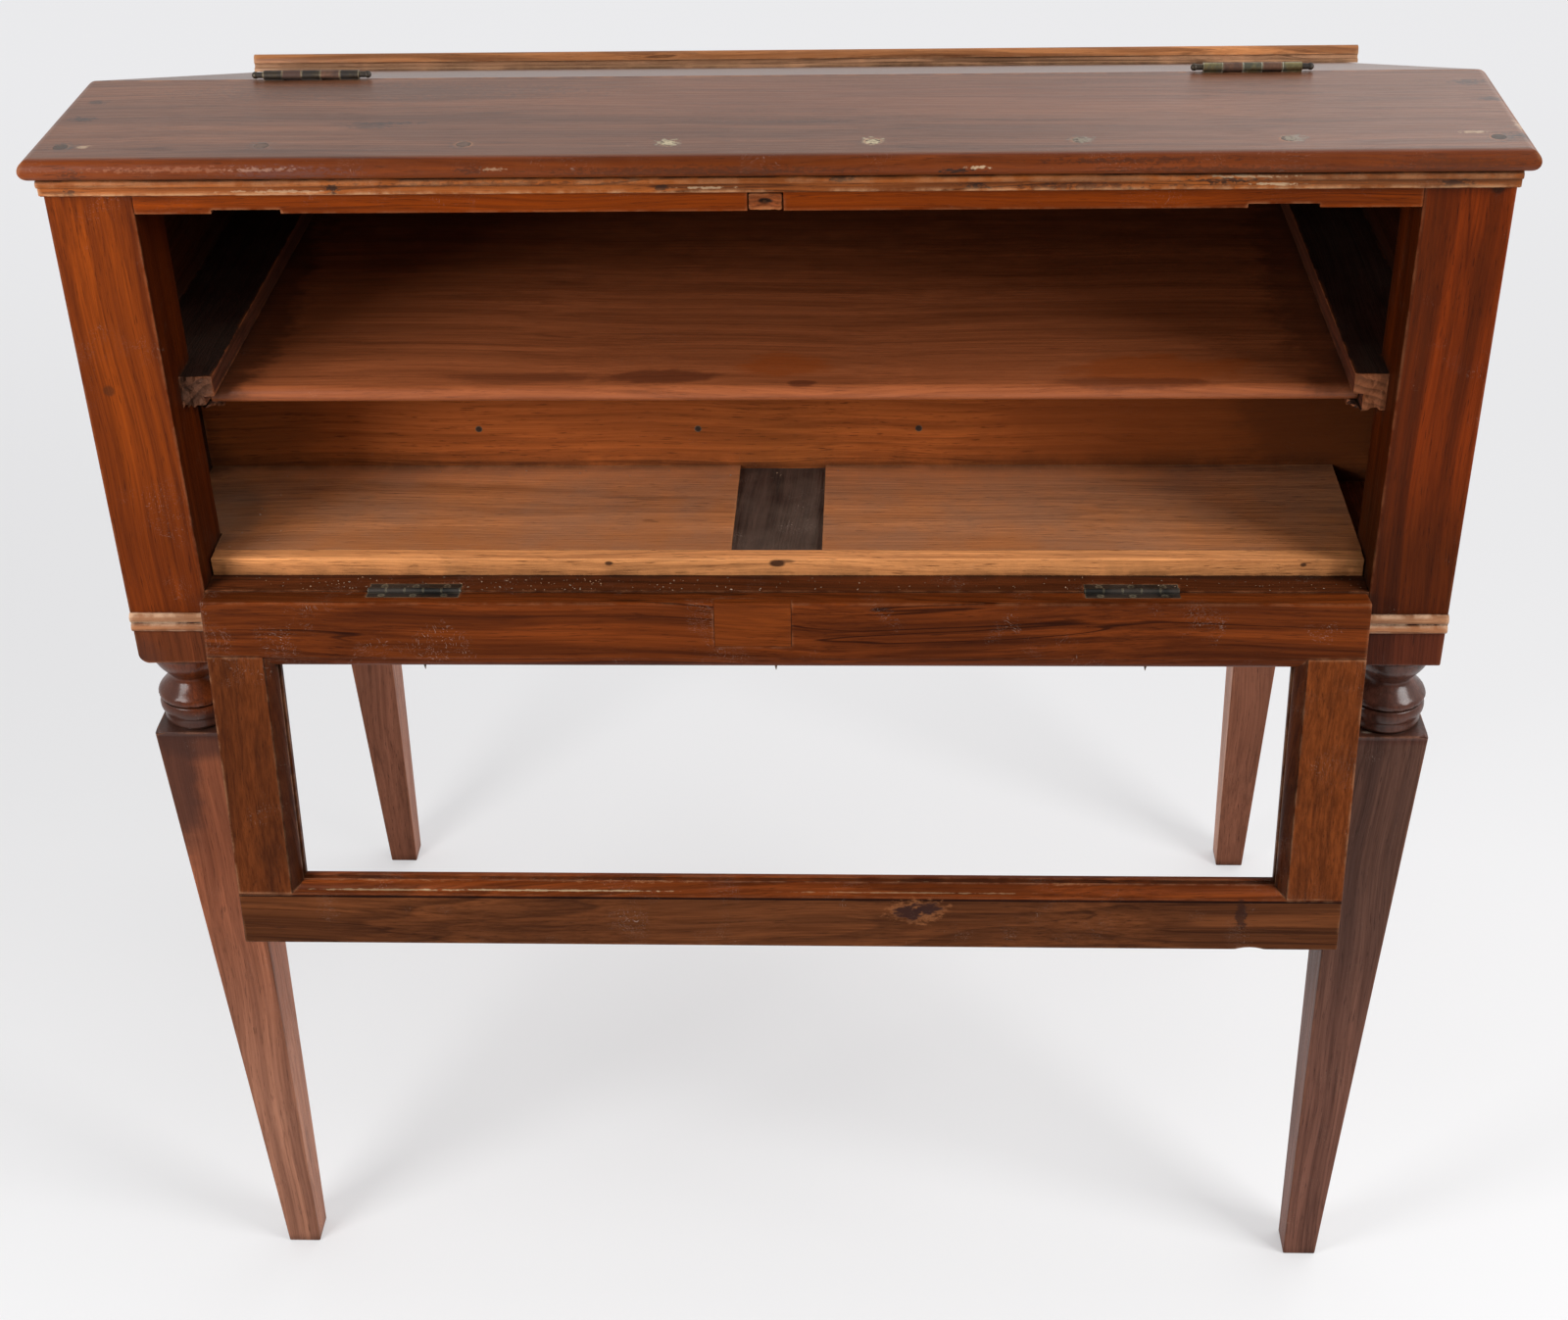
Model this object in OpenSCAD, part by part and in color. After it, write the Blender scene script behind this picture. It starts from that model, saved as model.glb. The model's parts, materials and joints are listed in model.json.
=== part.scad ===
// Standing writing desk: sloping lid on the sitter's side, drop flap and shelf on the other.
// +X is to the right seen from the flap side, +Y runs from the flap side to the sitter's
// side and +Z is up. The origin is on the floor, under the middle of the desk with its flap
// hanging open.

/* [Carcase] */
// Width over the corner posts
body_w = 1080; // [920:10:1240]
// Depth over the corner posts
body_d = 648; // [580:4:720]
// Height of the flat top board above the floor
top_h = 1138; // [1020:2:1240]
// Side of each square corner post
post_s = 66; // [58:1:74]
// Height of the bottom front rail
low_rail_h = 69; // [56:1:90]
// Slope of the writing lid in degrees
slope = 17.8; // [12:0.2:20]
// Thickness of the side panels
side_t = 20; // [16:1:24]
// Set-back of the side panels from the outside of the posts
side_in = 8; // [5:0.5:12]
// Thickness of the rail on the sitter's side
rear_rail_t = 20; // [16:1:26]
// Height of the rail on the sitter's side
rear_rail_h = 78; // [66:1:100]

/* [Legs] */
// Height of the turned neck between block and square leg
turn_h = 72; // [60:1:84]
// Radius of the turned bell and rings
bulb_r = 31; // [28:0.5:32.5]
// Radius of the narrowest part of the neck
neck_r = 23; // [19:0.5:25]
// Side of the square foot
foot_s = 31; // [26:1:38]
// How far the inner side of the foot stands out from the inner side of the post
foot_in = 5; // [0:0.5:10]
// The same for the feet on the sitter's side
rear_foot_in = 14; // [0:0.5:20]
// Wear on the lower outer corner of the left front post
worn_r = 9; // [3:0.5:14]

/* [Top] */
// Thickness of the top board
top_t = 17; // [14:0.5:22]
// Overhang of the top board at the front
top_over = 17; // [13:0.5:24]
// Overhang of the top board at both ends
end_over = 9.5; // [8:0.5:20]
// Depth of the top board behind the front of the posts
top_d = 160; // [130:2:190]
// Height of the cornice strip
cornice_h = 14; // [10:0.5:18]
// Projection of the cornice strip
cornice_out = 12; // [8:0.5:12.5]
// Radius of the filled nail heads
plug_r = 5.5; // [4:0.25:7]

/* [Front rails] */
// Height of the top front rail
top_rail_h = 31; // [26:0.5:40]
// Thickness of the top front rail
top_rail_t = 22; // [20:1:28]
// Height of the flap opening
opening_h = 327; // [290:1:350]
// Thickness of the bottom front rail
low_rail_t = 32; // [29:1:40]
// Drop from the rail's top to the top of the astragal
astragal_drop = 21; // [16:0.5:26]
// Height of the astragal with both its reeds
astragal_h = 17.6; // [14:0.4:20]
// Projection of the astragal
astragal_out = 4.2; // [2.6:0.1:5]

/* [Flap] */
// Thickness of the flap
flap_t = 23; // [20:0.5:24]
// Gap at each end of the closed flap
flap_side_gap = 2; // [1:0.25:4]
// Gap over the closed flap
flap_top_gap = 2.5; // [2:0.25:5]
// Height of the flap's rails
flap_rail_w = 59; // [48:1:66]
// Width of the flap's stiles
flap_stile_w = 56; // [46:1:66]
// Depth of the groove that held the panel
panel_groove = 6; // [4:0.5:8]
// Width of the groove that held the panel
panel_t = 7; // [5:0.5:9]
// Size of the rounded moulding around the opening
ovolo_r = 9; // [4:0.5:9]

/* [Inside] */
// Thickness of the floor boards
floor_t = 16; // [12:0.5:20]
// Depth of the compartment from the front of the posts to the partition
partition_y = 187; // [150:1:210]
// Thickness of the partition
partition_t = 16; // [12:0.5:20]
// Height of the shelf above the bottom front rail
shelf_up = 148; // [130:1:165]
// Thickness of the shelf
shelf_t = 13; // [11:0.5:16]
// Set-back of the shelf's front edge from the front of the posts
shelf_front = 45; // [40:1:52]
// Gap between the shelf at rest and the rail on the sitter's side
shelf_back_gap = 27; // [20:1:80]
// How far the shelf runners stand in from the posts
runner_in = 26; // [20:1:30]
// Wood of the runners above the shelf
runner_over = 17; // [12:0.5:20]
// Wood of the runners under the shelf
runner_under = 5; // [4:0.5:9]
// Depth of the runners' grooves
runner_groove = 8; // [6:0.5:10]

/* [Lid] */
// Thickness of the lid
lid_t = 17; // [14:0.5:20]
// Overhang of the lid on the sitter's side
lid_over = 14; // [8:1:20]
// Height of the lip along the lid's low edge
lip_h = 17; // [13:0.5:22]
// Thickness of the lip
lip_t = 11; // [9:0.5:14]

/* [Hinges] */
// Length of each flap hinge
flap_hinge_len = 76; // [64:1:90]
// Distance of the flap hinges' middles from the ends of the flap
flap_hinge_in = 180; // [120:2:220]
// Sideways shift of both flap hinges
flap_hinge_shift = -8; // [-12:1:12]
// Radius of the flap hinges' knuckles
flap_knuckle_r = 2.8; // [2.6:0.1:3.2]
// Length of each lid hinge
lid_hinge_len = 76; // [64:1:90]
// Distance of the lid hinges' middles from the sides of the posts
lid_hinge_in = 172; // [120:1:220]
// Radius of the lid hinges' knuckles
lid_knuckle_r = 3.4; // [3.2:0.1:4]
// Thickness of the hinge leaves
leaf_t = 1.8; // [1.4:0.1:2]

/* [Fits] */
// Gap between parts that rest on one another but move
rest_gap = 0.3; // [0.2:0.05:0.4]
// Clearance around a tenon in its mortise
joint_gap = 0.15; // [0.1:0.05:0.2]
// Gap between the top board and the lid
lid_gap = 0.8; // [0.6:0.1:1.2]
// Radial clearance of a hinge pin in its knuckles
pin_gap = 0.08; // [0.05:0.01:0.1]
// End clearance between hinge knuckles
knuckle_gap = 0.3; // [0.2:0.05:0.4]
// Play of the shelf in its grooves
shelf_play = 0.8; // [0.5:0.1:1.2]

/* [Hidden] */
$fn = 64;

half_w = body_w / 2;
inner_x = half_w - post_s;
board_z = top_h - top_t;
top_rail_z = board_z - top_rail_h;
low_rail_top = top_rail_z - opening_h;
side_x = half_w - side_in - side_t;
side_tongue = 8;
side_tongue_t = side_t / 2;
axis_x = half_w - post_s / 2;
corner_wear = 2;
shoulder_in = 2;
block_z = low_rail_top - low_rail_h - shoulder_in;
shoulder_z = block_z - turn_h;
flange_in = 0.5;
ring_in = 0.5;
thin_ring_in = 2.5;
groove_in = 3;
ring_groove = 1;
turning_sink = 6;
leg_wear_flat = 4;
tan_s = tan(slope);
cos_s = cos(slope);
sin_s = sin(slope);
lid_y = top_d + lid_gap;
lid_end_y = body_d + lid_over;
lid_len = (lid_end_y - lid_y) / cos_s;
lid_under = lid_t / cos_s + rest_gap;
rear_rail_in = 4;
rear_rail_low = top_h - (body_d - rear_rail_in - lid_y) * tan_s - lid_under - rear_rail_h;
nail_y = 13;
nail_r = 1.6;
nail_len = 36;
plug_deep = 4;
nail_count = 8;
nail_end_in = 15.5;
tenon_t = 9;
tenon_l = 30;
tenon_edge = 7;
old_hinge_in = 92;
old_hinge_l = 52;
old_hinge_deep = 3.5;
old_hinge_w = 13;
old_hinge_x = inner_x - old_hinge_in;
keep_w = 26;
keep_h = 14;
keep_t = 8;
keep_x = -4;
keep_hole_r = 2.4;

axis_y = -0.5;
axis_z = low_rail_top + 0.5;
reed_r = astragal_h / 4;
reed_y = reed_r - astragal_out;
astragal_top = low_rail_top - astragal_drop;
reed_z = astragal_top - reed_r;
flap_back = 2 * axis_y;
reach = sqrt(pow(reed_y - axis_y, 2) + pow(axis_z - reed_z, 2));
flap_lean = asin((reed_r + rest_gap + axis_y) / reach)
            - atan2(reed_y - axis_y, axis_z - reed_z);
flap_w = 2 * (inner_x - flap_side_gap);
flap_h = opening_h - 1 - flap_top_gap;
flap_hinge_x = flap_w / 2 - flap_hinge_in;
lid_hinge_x = half_w - lid_hinge_in;
front_reach = axis_y + (flap_back - flap_t - axis_y) * cos(flap_lean)
              + (low_rail_top - flap_h - axis_z) * sin(flap_lean);
back_reach = lid_end_y + lip_h * sin_s;
flap_tenon_t = 7;
moulding_w = ovolo_r + 1;
edge_hollow_in = 74.5;
edge_hollow_w = 28;
edge_hollow_deep = 2.5;
flap_tenon_l = 36;
patch_w = 62;
patch_h = 38;
patch_t = 9;
patch_x = -22;
flap_leaf_w = 12;
flap_leaf_start = flap_knuckle_r + 0.4;
flap_pin_r = 1.3;
screw_head_r = 3;
screw_shank_r = 1.5;
screw_slot_w = 0.7;
screw_slot_deep = 0.6;
screw_len = 15;
screw_hole_len = screw_len + 1;
floor_y = flap_t + 1.5;
floor_z = low_rail_top;
strip_d = 15.5;
gap_x0 = -42;
gap_x1 = 33;
bearer_low = 3;
bearer_h = 40;
side_bearer_w = 30;
side_bearer_h = 28;
partition_top = low_rail_top + shelf_up - rest_gap;
partition_rail_t = 22;
partition_rail_h = 36;
partition_rail_up = 34;
partition_rail_z = low_rail_top + partition_rail_up;
partition_nail_x = -78;
partition_nail_step = 192;
partition_head_r = 3;
shelf_z = low_rail_top + shelf_up;
groove_z = shelf_z - rest_gap;
groove_h = shelf_t + rest_gap + shelf_play;
runner_front = 30;
runner_z = groove_z - runner_under;
runner_h = runner_under + groove_h + runner_over;
runner_x = inner_x - runner_in;
shelf_half = runner_x + runner_groove - shelf_play;
shelf_d = body_d - rear_rail_in - rear_rail_t - shelf_back_gap - shelf_front;
lid_axis_y = top_d + lid_gap / 2;
lid_axis_z = top_h + lid_knuckle_r + 0.2;
lid_pin_r = 1.6;
pin_collar_l = 5;
pin_collar_r = 2.3;
pin_ball_r = 2.8;
lid_leaf_h = 13;
lid_leaf_top = 0.8;
wood = [0.45, 0.2, 0.1];
raw_wood = [0.72, 0.5, 0.28];
dark_wood = [0.2, 0.13, 0.1];
worn_wood = [0.62, 0.38, 0.22];
iron = [0.15, 0.15, 0.15];
brass = [0.6, 0.5, 0.3];

// Moves the desk, drawn from the front of its posts, so that the origin is under its middle
module placed() {
    translate([0, -(front_reach + back_reach) / 2, 0]) children();
}

// Runs a (Y, Z) outline along X from x0 to x1
module along_x(x0, x1) {
    translate([x0, 0, 0]) rotate([90, 0, 90]) linear_extrude(x1 - x0) children();
}

// Runs an (X, Z) outline along Y from y0 to y1
module along_y(y0, y1) {
    translate([0, y1, 0]) rotate([90, 0, 0]) linear_extrude(y1 - y0) children();
}

// Turned neck between the post block and the square leg, around the Z axis: a hollow that
// runs smoothly into a bell, a thick ring and a thin ring, with grooves between them
module turned_neck() {
    hollow_r = 0.195 * turn_h;
    waist_z = block_z - 0.23 * turn_h;
    bell_z = block_z - 0.48 * turn_h;
    bell_low = block_z - 0.65 * turn_h;
    thick_low = block_z - 0.86 * turn_h;
    thick_r = 0.16 * turn_h;
    thin_r = 0.085 * turn_h;
    bell_low_r = 0.56 * turn_h;
    sideways = neck_r + hollow_r - bulb_r;
    bell_r = (pow(sideways, 2) + pow(waist_z - bell_z, 2) - pow(hollow_r, 2))
             / (2 * (hollow_r - sideways));
    rotate_extrude() difference() {
        union() {
            translate([0, shoulder_z - turning_sink]) square([neck_r, turn_h]);
            translate([0, waist_z]) square([post_s / 2 - flange_in, block_z - waist_z]);
            translate([0, bell_z]) square([bulb_r - bell_r, bell_r]);
            translate([0, shoulder_z - turning_sink])
                square([bulb_r - groove_in, bell_z - shoulder_z + turning_sink]);
            translate([bulb_r - bell_r, bell_z]) circle(bell_r);
            ring_outline(bulb_r, bell_low_r, bell_z, bell_low, bell_z);
            ring_outline(bulb_r - ring_in, thick_r, (bell_low + thick_low) / 2,
                         thick_low, bell_low - ring_groove);
            ring_outline(bulb_r - thin_ring_in, thin_r, (thick_low + shoulder_z) / 2,
                         shoulder_z, thick_low - ring_groove);
        }
        translate([neck_r + hollow_r, waist_z]) circle(hollow_r);
        translate([-2 * post_s, 0]) square([2 * post_s, top_h]);
    }
}

// Bulging outline that reaches out to radius r at height z, kept between two heights
module ring_outline(r, bulge_r, z, low, high) {
    intersection() {
        translate([r - bulge_r, z]) circle(bulge_r);
        translate([0, low]) square([r + 1, high - low]);
    }
}

// Square leg that tapers on its outer side and on the side towards the middle
module square_leg(side, back) {
    x_out = half_w;
    foot_x = inner_x + (back ? rear_foot_in : foot_in);
    leg_top = shoulder_z + 1;
    flat_r = post_s / 2 + leg_wear_flat;
    corner_r = post_s * 0.72;
    y0 = back ? body_d - post_s : 0;
    intersection() {
        mirror([side < 0 ? 1 : 0, 0, 0]) along_y(y0, y0 + post_s)
            polygon([[foot_x, 0], [foot_x + foot_s, 0], [x_out, leg_top], [inner_x, leg_top]]);
        along_x(-half_w - 1, half_w + 1)
            polygon(back
                ? [[body_d - foot_s, 0], [body_d, 0], [body_d, leg_top], [body_d - post_s, leg_top]]
                : [[0, 0], [foot_s, 0], [post_s, leg_top], [0, leg_top]]);
        translate([side * axis_x, y0 + post_s / 2, 0]) rotate_extrude()
            polygon([[0, -1], [2 * post_s, -1], [2 * post_s, leg_top - corner_wear],
                     [corner_r, leg_top - corner_wear], [flat_r, leg_top + 1], [0, leg_top + 1]]);
    }
}

// Groove in a post for the tongue of a side panel
module side_groove(side, y0, y1) {
    translate([side > 0 ? side_x + side_t / 4 - joint_gap : -side_x - side_t * 3 / 4 - joint_gap,
               y0, block_z - 1])
        cube([side_tongue_t + 2 * joint_gap, y1 - y0, top_h]);
}

// Mortise in a post's inner side, from height z0 to z1, centred at depth y
module post_mortise(side, y, z0, z1) {
    x0 = inner_x - 1;
    translate([side > 0 ? x0 : -x0 - tenon_l - 2, y - tenon_t / 2 - joint_gap, z0 - joint_gap])
        cube([tenon_l + 2, tenon_t + 2 * joint_gap, z1 - z0 + 2 * joint_gap]);
}

module front_leg(side) {
    color(wood) placed() {
        difference() {
            along_post(side, 0) square([post_s, board_z - block_z]);
            side_groove(side, post_s - side_tongue - joint_gap, post_s + 1);
            post_mortise(side, top_rail_t / 2, top_rail_z + tenon_edge, board_z - tenon_edge);
            post_mortise(side, low_rail_t / 2, block_z + tenon_edge, low_rail_top - tenon_edge);
            top_nail_holes();
            if (side < 0) worn_corner();
        }
        translate([side * axis_x, post_s / 2, 0]) turned_neck();
        square_leg(side, false);
    }
}

// Places an outline on a post: X from its left side, Y from the block's underside
module along_post(side, y0) {
    x0 = side > 0 ? inner_x : -half_w;
    translate([x0, 0, block_z]) along_y(y0, y0 + post_s) children();
}

// Rounds off the lower outer corner of the left front block
module worn_corner() {
    difference() {
        translate([-half_w - 1, -1, block_z - 1]) cube([worn_r + 1, post_s + 2, worn_r + 1]);
        translate([-half_w + worn_r, -2, block_z + worn_r]) rotate([-90, 0, 0])
            cylinder(h = post_s + 4, r = worn_r);
    }
}

module rear_leg(side) {
    y0 = body_d - post_s;
    x0 = side > 0 ? inner_x : -half_w;
    color(wood) placed() {
        difference() {
            along_x(x0, x0 + post_s)
                polygon([[y0, block_z], [body_d, block_z],
                         [body_d, slope_z(body_d)], [y0, slope_z(y0)]]);
            side_groove(side, y0 - 1, y0 + side_tongue + joint_gap);
            post_mortise(side, body_d - rear_rail_in - rear_rail_t / 2, rear_rail_low + tenon_edge,
                         rear_rail_low + rear_rail_h - tenon_edge);
        }
        translate([side * axis_x, y0 + post_s / 2, 0]) turned_neck();
        square_leg(side, true);
    }
}

// Height of the carcase's edge under the closed lid at depth y
function slope_z(y) = top_h - (y - lid_y) * tan_s - lid_under;

module side_panel(side) {
    color(wood) placed() mirror([side < 0 ? 1 : 0, 0, 0]) {
        along_x(side_x, side_x + side_t) side_outline(post_s, body_d - post_s);
        along_x(side_x + side_t / 4, side_x + side_t * 3 / 4)
            side_outline(post_s - side_tongue, body_d - post_s + side_tongue);
    }
}

// Side of the carcase between two depths: level under the top board, sloping under the lid
module side_outline(y0, y1) {
    low = block_z + shoulder_in;
    polygon([[y0, low], [y1, low], [y1, slope_z(y1)], [lid_y, slope_z(lid_y)],
             [lid_y, (board_z + slope_z(lid_y)) / 2], [top_d - 1, board_z], [y0, board_z]]);
}

module rear_rail() {
    y0 = body_d - rear_rail_in - rear_rail_t;
    y1 = body_d - rear_rail_in;
    color(wood) placed() {
        along_x(-inner_x, inner_x)
            polygon([[y0, rear_rail_low], [y1, rear_rail_low], [y1, slope_z(y1)], [y0, slope_z(y0)]]);
        translate([-inner_x - tenon_l, (y0 + y1) / 2 - tenon_t / 2, rear_rail_low + tenon_edge])
            cube([2 * (inner_x + tenon_l), tenon_t, rear_rail_h - 2 * tenon_edge]);
    }
}

// Holes for the nails that hold the top board
module top_nail_holes() {
    for (i = [0 : nail_count - 1]) translate([nail_x(i), nail_y, top_h - plug_deep - nail_len])
        cylinder(h = nail_len + 1, r = nail_r + 0.05);
}

// Sideways place of each nail, from one post to the other
function nail_x(i) = (2 * i / (nail_count - 1) - 1) * (half_w - nail_end_in);

module top_front_rail() {
    color(wood) placed() difference() {
        union() {
            translate([-inner_x, 0, top_rail_z]) cube([2 * inner_x, top_rail_t, top_rail_h]);
            translate([-inner_x - tenon_l, top_rail_t / 2 - tenon_t / 2, top_rail_z + tenon_edge])
                cube([2 * (inner_x + tenon_l), tenon_t, top_rail_h - 2 * tenon_edge]);
        }
        for (s = [-1, 1])
            translate([s * old_hinge_x + flap_hinge_shift - old_hinge_l / 2, -1, top_rail_z - 1])
            cube([old_hinge_l, old_hinge_w + 1, old_hinge_deep + 1]);
        translate([keep_x - keep_w / 2 - joint_gap, -1, top_rail_z - 1])
            cube([keep_w + 2 * joint_gap, keep_t + 1 + joint_gap, keep_h + 1 + joint_gap]);
        top_nail_holes();
    }
}

// Small inset block with a worn slot for the catch of the flap's lock
module keep_patch() {
    slot_w = 7;
    color(worn_wood) placed() difference() {
        translate([keep_x - keep_w / 2, 0.3, top_rail_z]) cube([keep_w, keep_t - 0.3, keep_h]);
        translate([keep_x - slot_w / 2, keep_t - 2, top_rail_z + keep_h * 0.45]) rotate([90, 0, 0])
            linear_extrude(keep_t) union() {
                for (s = [0, 1]) translate([s * slot_w, 0]) circle(keep_hole_r);
                translate([0, -keep_hole_r]) square([slot_w, 2 * keep_hole_r]);
            }
    }
}

module bottom_front_rail() {
    low = block_z + shoulder_in;
    color(wood) placed() difference() {
        union() {
            translate([-inner_x, 0, low]) cube([2 * inner_x, low_rail_t, low_rail_top - low]);
            translate([-inner_x - tenon_l, low_rail_t / 2 - tenon_t / 2, block_z + tenon_edge])
                cube([2 * (inner_x + tenon_l), tenon_t,
                      low_rail_top - block_z - 2 * tenon_edge]);
        }
        for (s = [-1, 1]) {
            flap_hinge_seat(s, 1);
            flap_screw_holes(s, 1);
        }
    }
}

module astragal() {
    color(worn_wood) placed() along_x(-half_w, half_w) intersection() {
        union() {
            for (i = [1, 3]) translate([reed_y, astragal_top - i * reed_r]) circle(reed_r);
            translate([-astragal_out / 2, astragal_top - astragal_h + 0.6])
                square([astragal_out, astragal_h - 1.2]);
        }
        translate([-2 * astragal_out, astragal_top - astragal_h])
            square([2 * astragal_out, astragal_h]);
    }
}

// Strip with a rounded upper bead and a smaller one under it
module cornice_strip() {
    upper = cornice_h * 0.45;
    lower = cornice_h - upper;
    color(worn_wood) placed() along_x(-half_w, half_w) union() {
        translate([-cornice_out + upper / 2, board_z - upper / 2]) circle(upper / 2);
        translate([-cornice_out + upper / 2, board_z - upper])
            square([cornice_out - upper / 2, upper]);
        translate([-cornice_out * 0.72, board_z - cornice_h + 1.5])
            square([cornice_out * 0.72, lower]);
        translate([-cornice_out * 0.5, board_z - cornice_h])
            square([cornice_out * 0.5, lower]);
    }
}

module top_board() {
    r = top_t / 2;
    w = half_w + end_over;
    color(wood) placed() difference() {
        intersection() {
            along_x(-w, w) union() {
                translate([-top_over + r, board_z + r]) circle(r);
                translate([-top_over + r, board_z]) square([top_d + top_over - r, top_t]);
            }
            along_y(-top_over - 1, top_d + 1) union() {
                for (s = [-1, 1]) translate([s * (w - r), board_z + r]) circle(r);
                translate([-w + r, board_z]) square([2 * (w - r), top_t]);
            }
        }
        top_nail_holes();
        for (i = [0 : nail_count - 1]) translate([nail_x(i), nail_y, top_h - plug_deep])
            cylinder(h = plug_deep + 1, r = plug_r + 0.05);
        for (s = [-1, 1]) {
            translate([s * lid_hinge_x - lid_hinge_len / 2 - 0.1, top_d - leaf_t,
                       top_h - lid_leaf_top - lid_leaf_h])
                cube([lid_hinge_len + 0.2, leaf_t + 1, lid_leaf_top + lid_leaf_h + 1]);
            lid_screw_holes(s, -1);
        }
    }
}

module top_nails() {
    color(iron) placed() for (i = [0 : nail_count - 1]) {
        translate([nail_x(i), nail_y, top_h - plug_deep - nail_len + 1])
            cylinder(h = nail_len - 1, r = nail_r);
    }
}

module nail_plugs() {
    color(worn_wood) placed() for (i = [0 : nail_count - 1])
        translate([nail_x(i), nail_y, top_h - plug_deep]) cylinder(h = plug_deep, r = plug_r);
}

module floor_strip() {
    color(raw_wood) placed()
        translate([-inner_x + 1, floor_y, floor_z]) cube([2 * inner_x - 2, strip_d, floor_t]);
}

module floor_board_left() {
    y0 = floor_y + strip_d;
    color(raw_wood) placed() difference() {
        translate([-side_x + 1, y0, floor_z]) cube([side_x - 1 + gap_x0, partition_y - y0, floor_t]);
        translate([-half_w, -1, floor_z - 1]) cube([post_s + 1, post_s + 2, floor_t + 2]);
    }
}

module floor_board_right() {
    y0 = floor_y + strip_d;
    color(raw_wood) placed()
        translate([gap_x1, y0, floor_z]) cube([inner_x - 1 - gap_x1, partition_y - y0, floor_t]);
}

module centre_bearer() {
    y0 = floor_y + strip_d;
    z1 = floor_z + floor_t - bearer_low;
    color(dark_wood) placed() difference() {
        translate([gap_x0, low_rail_t, z1 - bearer_h])
            cube([gap_x1 - gap_x0, partition_y - low_rail_t, bearer_h]);
        translate([gap_x0 - 1, low_rail_t - 1, floor_z])
            cube([gap_x1 - gap_x0 + 2, y0 - low_rail_t + 1, floor_t]);
    }
}

module side_bearer(side) {
    w = side_bearer_w + side_x - inner_x;
    color(raw_wood) placed() mirror([side < 0 ? 1 : 0, 0, 0])
        translate([side_x - w, post_s, floor_z - side_bearer_h])
            cube([w, partition_y - post_s, side_bearer_h]);
}

module partition() {
    low = block_z + 6;
    color(raw_wood) placed() difference() {
        translate([-side_x, partition_y, low]) cube([2 * side_x, partition_t, partition_top - low]);
        for (s = [-1, 1]) translate([s * (runner_x + side_x) / 2 - (side_x - runner_x) / 2 - 1,
                                     partition_y - 1, runner_z])
            cube([side_x - runner_x + 2, partition_t + 2, runner_h]);
        partition_nail_holes();
    }
}

module partition_rail() {
    color(raw_wood) placed() difference() {
        translate([-side_x, partition_y + partition_t, partition_rail_z])
            cube([2 * side_x, partition_rail_t, partition_rail_h]);
        partition_nail_holes();
    }
}

// Holes for the nails through the partition, with room for their heads
module partition_nail_holes() {
    for (i = [-1 : 1]) translate([partition_nail_x + i * partition_nail_step, partition_y,
                                  partition_rail_z + partition_rail_h / 2])
        rotate([-90, 0, 0]) {
            translate([0, 0, -1]) cylinder(h = partition_t + 16, r = nail_r + 0.05);
            translate([0, 0, -1]) cylinder(h = 2, r = partition_head_r + 0.05);
        }
}

module partition_nails() {
    color(iron) placed() for (i = [-1 : 1])
        translate([partition_nail_x + i * partition_nail_step, partition_y,
                   partition_rail_z + partition_rail_h / 2]) rotate([-90, 0, 0]) {
            cylinder(h = partition_t + 14, r = nail_r);
            translate([0, 0, -0.2]) cylinder(h = 1.2, r = partition_head_r);
        }
}

// Grooved batten that carries one end of the shelf, notched around the front post
module runner(side) {
    y1 = body_d - post_s;
    color(wood) placed() mirror([side < 0 ? 1 : 0, 0, 0]) difference() {
        translate([runner_x, runner_front, runner_z])
            cube([side_x - runner_x, y1 - runner_front, runner_h]);
        translate([inner_x, -1, runner_z - 1]) cube([post_s, post_s + 1, runner_h + 2]);
        translate([runner_x - 1, runner_front - 1, groove_z])
            cube([runner_groove + 1, body_d, groove_h]);
    }
}

module shelf() {
    r = shelf_t / 2;
    color(wood) placed() along_x(-shelf_half, shelf_half) union() {
        translate([shelf_front + r, shelf_z + r]) circle(r);
        translate([shelf_front + r, shelf_z]) square([shelf_d - r, shelf_t]);
    }
}

// Outline of the lid between two distances down its slope
module lid_outline(s0, s1) {
    start = s0 <= 0;
    a = [lid_y + s0 * cos_s, top_h - s0 * sin_s];
    b = [lid_y + s1 * cos_s, top_h - s1 * sin_s];
    n = [sin_s, cos_s];
    polygon([a, b, b - lid_t * n, start ? [lid_y, top_h - lid_t / cos_s] : a - lid_t * n]);
}

// Lid board with rounded ends at the sides
module lid_board(s0, s1) {
    r = lid_t / 2;
    w = half_w + end_over;
    intersection() {
        along_x(-w, w) lid_outline(s0, s1);
        translate([0, lid_y, top_h]) rotate([-slope, 0, 0]) along_y(-lid_t, lid_len + 1) union() {
            for (s = [-1, 1]) translate([s * (w - r), -r]) circle(r);
            translate([-w + r, -lid_t]) square([2 * (w - r), lid_t]);
        }
    }
}

module lid_upper_board() {
    color(wood) placed() difference() {
        lid_board(0, lid_len * 0.52);
        for (s = [-1, 1]) {
            translate([s * lid_hinge_x - lid_hinge_len / 2 - 0.1, lid_y - 1,
                       top_h - lid_leaf_top - lid_leaf_h])
                cube([lid_hinge_len + 0.2, leaf_t + 1, lid_leaf_top + lid_leaf_h + 1]);
            lid_screw_holes(s, 1);
        }
    }
}

module lid_lower_board() {
    color(wood) placed() lid_board(lid_len * 0.52, lid_len);
}

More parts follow.
